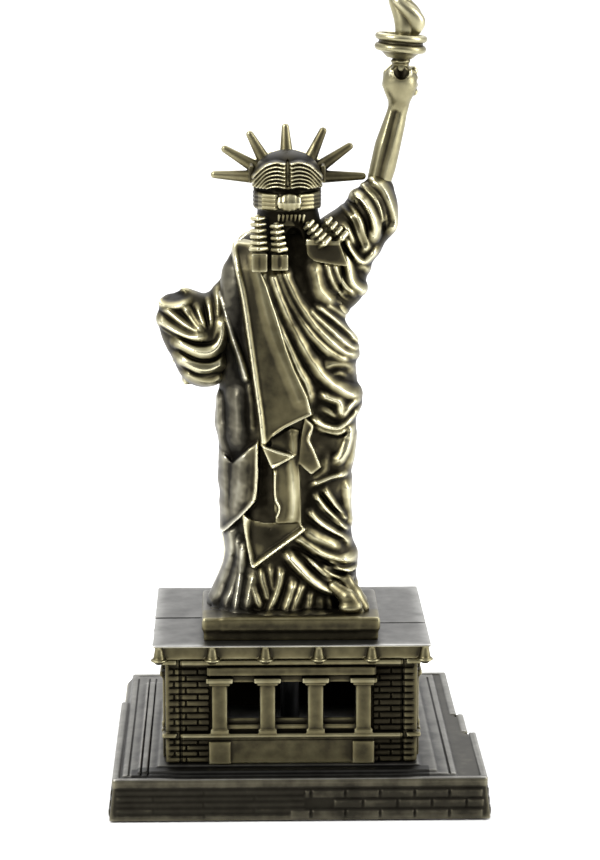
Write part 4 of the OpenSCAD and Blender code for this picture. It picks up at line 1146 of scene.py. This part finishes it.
hand = Vol([17, -8.5, 85], [31, 10, 105], 0.18)
hand.limb([[24.8, 6.6, 101, 2.4], [24.0, 3, 98.4, 2.0], [22.6, 1.6, 95.4, 1.9]], 1.0)
hand.egg([22.4, 1.5, 93.4], [1.9, 1.5, 3.4], k=0.8)
for i in range(4):
    z = 96 - 1.75 * i
    hand.limb([[23, 1.6, z, 0.95], [25.1, 0.4, z - 0.2, 0.9], [25.7, -1.4, z - 0.4, 0.85],
               [24, -3.6, z - 0.5, 0.75]], 0.15)
hand.limb([[22, 1.4, 97.6, 1.0], [20.2, -0.2, 99.6, 0.8]], 0.3)
hand.soften(0.1)
mesh_of("left_hand", hand, shine=0.05)

# ---------------------------------------------------------------- head

HX = 2.1
head = Vol([-6.5, 3, 116.5], [10.8, 22.5, 139.5], 0.13)
head.egg([HX, 13.6, 131.2], [6.3, 6.9, 5.6])
head.egg([HX, 10.4, 126.8], [4.5, 4.3, 5.0], k=2.0)
head.egg([HX, 8.6, 123.6], [2.2, 2.0, 1.7], k=1.4)
head.limb([[HX, 14.6, 117.5, 4.2], [HX, 13.8, 126, 3.8]], 1.0)
head.egg([HX, 7.6, 131.6], [4.2, 1.1, 1.0], k=1.2)
head.limb([[HX, 7.0, 130.8, 0.6], [HX, 6.0, 128.8, 0.75], [HX, 5.2, 127.5, 0.85]], 0.7)
for s in (-1, 1):
    head.egg([HX + s * 0.75, 5.9, 127.3], [0.55, 0.6, 0.45], k=0.3)
    head.egg([HX + s * 2.5, 6.4, 130.1], [1.5, 0.9, 0.95], "cut", 0.9)
    head.egg([HX + s * 2.4, 7.7, 130.1], [1.05, 1.0, 0.72], k=0.1)
    head.limb([[HX + s * 1.3, 6.85, 130.1, 0.2], [HX + s * 2.4, 6.65, 130.62, 0.22],
               [HX + s * 3.5, 7.3, 130.1, 0.2]], 0.15)
    head.limb([[HX + s * 1.4, 6.95, 129.95, 0.16], [HX + s * 2.4, 6.85, 129.55, 0.16],
               [HX + s * 3.4, 7.3, 129.95, 0.16]], 0.15)
    head.limb([[HX + s * 0.9, 6.75, 131.3, 0.3], [HX + s * 2.5, 6.75, 131.9, 0.3],
               [HX + s * 4.1, 7.9, 131.3, 0.25]], 0.5)
    head.egg([HX + s * 3.1, 8.0, 127.7], [1.5, 1.2, 1.6], k=1.3)
    head.limb([[HX, 5.9, 125.6, 0.4], [HX + s * 0.5, 5.85, 125.75, 0.38],
               [HX + s * 1.5, 6.7, 125.5, 0.2]], 0.12)
    head.limb([[HX, 6.15, 124.9, 0.45], [HX + s * 0.8, 6.3, 124.95, 0.36],
               [HX + s * 1.4, 6.8, 125.2, 0.2]], 0.12)
head.limb([[HX - 1.5, 6.5, 125.3, 0.1], [HX, 5.75, 125.28, 0.1], [HX + 1.5, 6.5, 125.3, 0.1]], 0.1,
          "cut")
head.egg([HX, 6.9, 123.0], [1.1, 0.9, 0.8], k=0.8)
head.soften(0.07)
mesh_of("head", head, shine=0.04)

# Hair: a parted cap of strands, a band of rolled strands and a knot, and short ribs below it.
hair = Vol([-7.5, 5.5, 115], [11.8, 25.5, 139], 0.15)
hair.egg([HX, 13.8, 131.2], [7.2, 7.3, 5.9])
hair.egg([HX, 14.6, 128.4], [6.9, 6.3, 4.6], k=1.0)
hair.box([HX - 12, -2, 110], [HX + 12, 9.2, 145], 0, "cut", 0.6)
cap_rel = Relief(hair)
for s in (-1, 1):
    for i in range(7):
        z = 134.7 - 0.78 * i
        drop = 1.2 + 0.2 * i
        cap_rel.ridge([(HX + s * 0.35, z - 0.1), (HX + s * 2.4, z + 0.25), (HX + s * 4.6, z - 0.5),
                       (HX + s * 6.4, z - 0.9 - drop), (HX + s * 7.4, z - 2.2 - drop)],
                      0.42, 1.0, fade=0.5)
hair.d = hair.d - (cap_rel.h * (hair.ax[2][None, :] > 129.6))[:, None, :] * step(hair.y, 11, 16)
hair.box([HX - 0.18, 15, 130.2], [HX + 0.18, 26, 135.4], 0.1, "cut", 0.3)
hair.limb([[HX - 7.6, 15.4, 129.3, 0.45], [HX - 3, 20.6, 129.1, 0.5], [HX + 3, 20.6, 129.1, 0.5],
           [HX + 7.6, 15.4, 129.3, 0.45]], 0.3, "cut")
for s in (-1, 1):
    for i in range(4):
        z = 128.2 - 0.82 * i
        hair.limb([[HX + s * 2.5, 20.9, z, 0.5], [HX + s * 5.0, 19.2, z, 0.5],
                   [HX + s * 6.4, 16.2, z - 0.1, 0.5], [HX + s * 6.7, 13, z, 0.5]], 0.08)
hair.limb([[HX + 0.1, 15.0, 126.5, 6.1], [HX - 0.2, 14.9, 121.8, 6.6],
           [HX + 0.2, 14.6, 118, 6.9]], 0.4)
hair.box([HX - 12, -2, 110], [HX + 12, 12.6, 126], 0, "cut", 0.6)
hair.egg([HX - 1.3, 22.4, 117.8], [2.4, 3.4, 4.2], "cut", 0.5)
hair.egg([HX - 0.3, 21.0, 127.0], [2.5, 1.7, 1.75], k=0.2)
for i in range(5):
    x = (i - 2) * 0.95
    z = 1.3 - 0.14 * x * x
    hair.limb([[HX - 0.3 + x, 21.7, 127 - z, 0.5], [HX - 0.3 + x, 22.1 - 0.06 * x * x, 127.0, 0.55],
               [HX - 0.3 + x, 21.7, 127 + z, 0.5]], 0.35)
for i in range(7):
    x = HX - 0.6 + (i - 3) * 0.85
    hair.limb([[x, 21.2, 122.9, 0.24], [x - 0.15, 21.35, 124.3, 0.32]], 0.06)
hair.soften(0.07)


def hair_tone(p):
    """Bright on the knot; painted shade, near black, on the crown round the roots of the rays, under
    the band, and under the knot down to the nape.
    """
    x, z = np.abs(p[:, 0] - HX + 0.3), p[:, 2]
    knot = (x < 2.6) & (z > 125.2) & (z < 128.9)
    # Painted shade under the knot.
    nape = (z < 125.0) & (p[:, 1] < 21.45)
    return (np.where(z > 134.9, -0.42, -0.02) + 0.12 * knot - 0.22 * (x > 6.4) * (z < 129)
            - np.where(z < 122.2, 0.5, 0) - 0.4 * nape - 0.1 * (z < 125.0))


mesh_of("hair", hair, hair_tone)

curls = Vol([-12, 15, 111.5], [11.5, 27, 126], 0.15)
# Ringlets: top, foot and half width of each stack of rolled hair.
STACKS = [([8.2, 20.9, 123.6], [8.1, 23.4, 117.6], 1.35),
          ([4.4, 22.3, 122.2], [3.9, 23.4, 117.4], 1.15),
          ([-2.2, 22.3, 122.4], [-5.4, 22.8, 118.8], 1.15),
          ([-6.0, 21.2, 122.8], [-9.0, 21.6, 119.7], 1.15)]
for a, b, r in STACKS:
    run = math.hypot(b[0] - a[0], b[2] - a[2])
    px, pz = -(b[2] - a[2]) / run, (b[0] - a[0]) / run
    n = int(run / 1.1)
    for i in range(n + 1):
        t = i / n
        c = [a[k] + (b[k] - a[k]) * t for k in range(3)]
        g = r * (0.9 + 0.2 * t)
        size = 0.46 + 0.16 * (i == n)
        curls.limb([[c[0] - g * px, c[1] - 0.6, c[2] - g * pz, size],
                    [c[0], c[1] + 0.4, c[2], size],
                    [c[0] + g * px, c[1] - 0.6, c[2] + g * pz, size]], 0.05)
    curls.limb([[a[0], a[1] - 0.9, a[2], 0.8], [b[0], b[1] - 0.9, b[2], 0.9]])
curls.box([6.4, 22, 113.1], [9.6, 25.2, 116.9], 0.3)
curls.box([2.1, 21.4, 113.3], [5.6, 24.6, 116.6], 0.3)
curls.limb([[8.0, 25.5, 113.6, 0.4], [8.0, 25.5, 116.6, 0.4]], 0.2, "cut")
curls.limb([[3.9, 24.9, 114.2, 0.6], [3.9, 24.9, 116.2, 0.6]], 0.3, "cut")
flapped = Relief(curls)
flapped.plate([(-1.5, 119.4), (-8.4, 119), (-10.4, 113.7), (-6, 114.4), (-1.9, 115.1)], 1, 0.3)


def collar(x, y, z):
    """Turned edge of cloth beside the ringlets, cut out by its plate."""
    m = flapped.h[:, None, :]
    return np.maximum(np.abs(y - 21.2 + 0.1 * (x + 6) ** 2 * 0.5) - 1.3, (0.5 - m) * 1.5)


curls.d = np.minimum(curls.d, collar(curls.x, curls.y, curls.z).astype(np.float32))
curls.soften(0.07)
mesh_of("ringlets", curls, lambda p: 0.04 - 0.2 * (p[:, 2] < 117.0) * (p[:, 0] > 0)
        - 0.32 * (p[:, 2] < 118.2) * (p[:, 0] < 0) * step(flapped.at(p[:, 0], p[:, 2]), 0.4, 1.0))

band = Vol([-7.5, 3.5, 127], [11.8, 18, 139], 0.15)


def ring(x, y, z):
    """Band round the front of the head, higher at the brow."""
    u, v = x - HX, y - 13.2
    w = z - 132.2 + 0.25 * v
    r = np.sqrt(u * u + v * v)
    q = [np.abs(r - 7.5) - 0.25, np.abs(w) - 1.5 - 0.05 * np.clip(-v, 0, 8)]
    d = np.sqrt(np.maximum(q[0], 0) ** 2 + np.maximum(q[1], 0) ** 2) + np.minimum(
        np.maximum(q[0], q[1]), 0) - 0.25
    return np.maximum(d, v - 1.2)


band.field(ring, [-6.5, 4.5, 128], [10.5, 15, 137.5])
band.soften(0.07)
# The band is darkened towards its ends, where it meets the hair: painted shade.
mesh_of("diadem", band, lambda p: -0.6 * step(p[:, 1], 11.5, 12.8),
        shine=0.06)

RAYS = [(2.4, 141.4, 2.2, 136.0), (9.8, 139.9, 6.8, 134.6), (15.0, 136.9, 8.4, 133.0),
        (17.2, 131.6, 9.0, 131.2), (-5.4, 140.6, -2.6, 134.6), (-10.9, 137.4, -4.4, 133.0),
        (-13.6, 131.2, -4.9, 131.2)]
rays = Vol([-16, 7, 129], [19.5, 16, 144], 0.16)
for tx, tz, rx, rz in RAYS:
    y = 11.6 - 0.12 * (rz - 131)
    rays.limb([[rx, y, rz, 1.4], [tx, y - 0.6, tz, 0.8]], flat=(1, 1.15, 1))
rays.soften(0.08)
# The rays on the figure's right are darker: painted shade.
mesh_of("rays", rays, lambda p: np.where(p[:, 0] < -3.5, -0.16, 0),
        shine=-0.06, edge=0.6)

# ---------------------------------------------------------------- feet

foot = Vol([-15, 22, 40.6], [-6, 31.5, 49.5], 0.16)
foot.limb([[-7.4, 25, 46.6, 1.3], [-10.2, 26.8, 44.7, 1.6], [-12.0, 27.4, 43.1, 1.2]], 1.0)
foot.egg([-10.6, 27.6, 42.8], [2.3, 1.8, 1.3], k=0.8)
foot.limb([[-10.2, 27.0, 41.7, 1.2], [-12.6, 26.4, 41.5, 1.1]], 0.8)
foot.soften(0.08)
mesh_of("heel", foot, shine=-0.08)

toe = Vol([4.5, -1, 40.8], [15.5, 8, 46], 0.16)
for i in range(5):
    r = 0.95 - 0.09 * i
    toe.limb([[7.2 + i * 1.35, 1.3 + i * 0.4, 41.4 + r, r], [7.4 + i * 1.2, 3.6, 42.9, r + 0.3],
              [7.6 + i * 1.1, 6, 43.2, r + 0.5]], 0.2)
toe.box([6, 0.4, PLINTH_Z], [13.8, 7.4, PLINTH_Z + 0.5], 0.2)
toe.soften(0.08)
mesh_of("toes", toe, shine=0.04)

# ---------------------------------------------------------------- camera, light and floor

PITCH, YAW = math.radians(11.5), math.radians(1.355)    # looking down, and off the Y axis
CAMERA_AT = (13.63, 613.66, 199.89)
FRAME_MM, LENS_MM = 36, 121.4           # the frame is fitted to the height of the view


def add_camera():
    """Long lens behind the figure, a little above it."""
    forward = Vector((-math.sin(YAW) * math.cos(PITCH), -math.cos(YAW) * math.cos(PITCH),
                      -math.sin(PITCH)))
    right = Vector((-math.cos(YAW), math.sin(YAW), 0))
    up = right.cross(forward)
    cam = bpy.data.cameras.new("camera")
    cam.sensor_fit = "VERTICAL"
    cam.sensor_width = cam.sensor_height = FRAME_MM
    cam.lens = LENS_MM
    cam.clip_end = 10
    ob = bpy.data.objects.new("camera", cam)
    turn = Matrix((right, up, -forward)).transposed().to_4x4()
    turn.translation = Vector(CAMERA_AT) * MM
    ob.matrix_world = turn
    bpy.context.scene.collection.objects.link(ob)
    return ob


bpy.context.scene.camera = add_camera()

bpy.ops.mesh.primitive_plane_add(size=8, location=(0, 0, 0))
floor = bpy.context.object
floor.name = "floor"
floor.data.materials.append(plain_material("floor_white", (0.84, 0.84, 0.84), 0.7))


def area(name, at, aim, size, power):
    """Soft rectangular lamp, places in metres."""
    lamp = bpy.data.lights.new(name, "AREA")
    lamp.shape = "RECTANGLE"
    lamp.size, lamp.size_y = size
    lamp.energy = power
    ob = bpy.data.objects.new(name, lamp)
    ob.location = at
    ob.rotation_euler = (Vector(aim) - Vector(at)).to_track_quat("-Z", "Y").to_euler()
    bpy.context.scene.collection.objects.link(ob)


area("key", (0.55, 0.45, 0.6), (0, 0, 0.1), (0.3, 0.5), 7)
area("rim", (-0.6, 0.15, 0.35), (0, 0, 0.1), (0.25, 0.6), 4)
area("sweep", (0, -1.7, 1.8), (0, -1.4, 0), (3, 2.4), 62)


# Brightness all round, from the figure's front (0) to its back (1).
SKY = [(0.0, 0.95), (0.62, 0.9), (0.8, 1.0), (0.9, 0.3), (1.0, 0.05)]


def studio_world():
    """Pale all round, with a dark gap behind the figure's back that the metal mirrors."""
    world = bpy.data.worlds.new("studio")
    bpy.context.scene.world = world
    world.use_nodes = True
    t = world.node_tree
    place, split = t.nodes.new("ShaderNodeTexCoord"), t.nodes.new("ShaderNodeSeparateXYZ")
    t.links.new(place.outputs["Generated"], split.inputs[0])
    along = scaled(t, split.outputs["Y"], 0.5, 0.5)
    sky = ramped(t, along, [(at, (v, v, v)) for at, v in SKY])
    t.links.new(sky, t.nodes["Background"].inputs[0])


studio_world()
bpy.context.scene.view_settings.view_transform = "Standard"

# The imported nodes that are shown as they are, the hidden fixings, are blackened steel.
STOOD = {n for o in bpy.context.scene.objects if "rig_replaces" in o for n in o["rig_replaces"]}
for name, ob in frame["nodes"].items():
    if name not in STOOD:
        ob.data.materials.clear()
        ob.data.materials.append(STEEL)
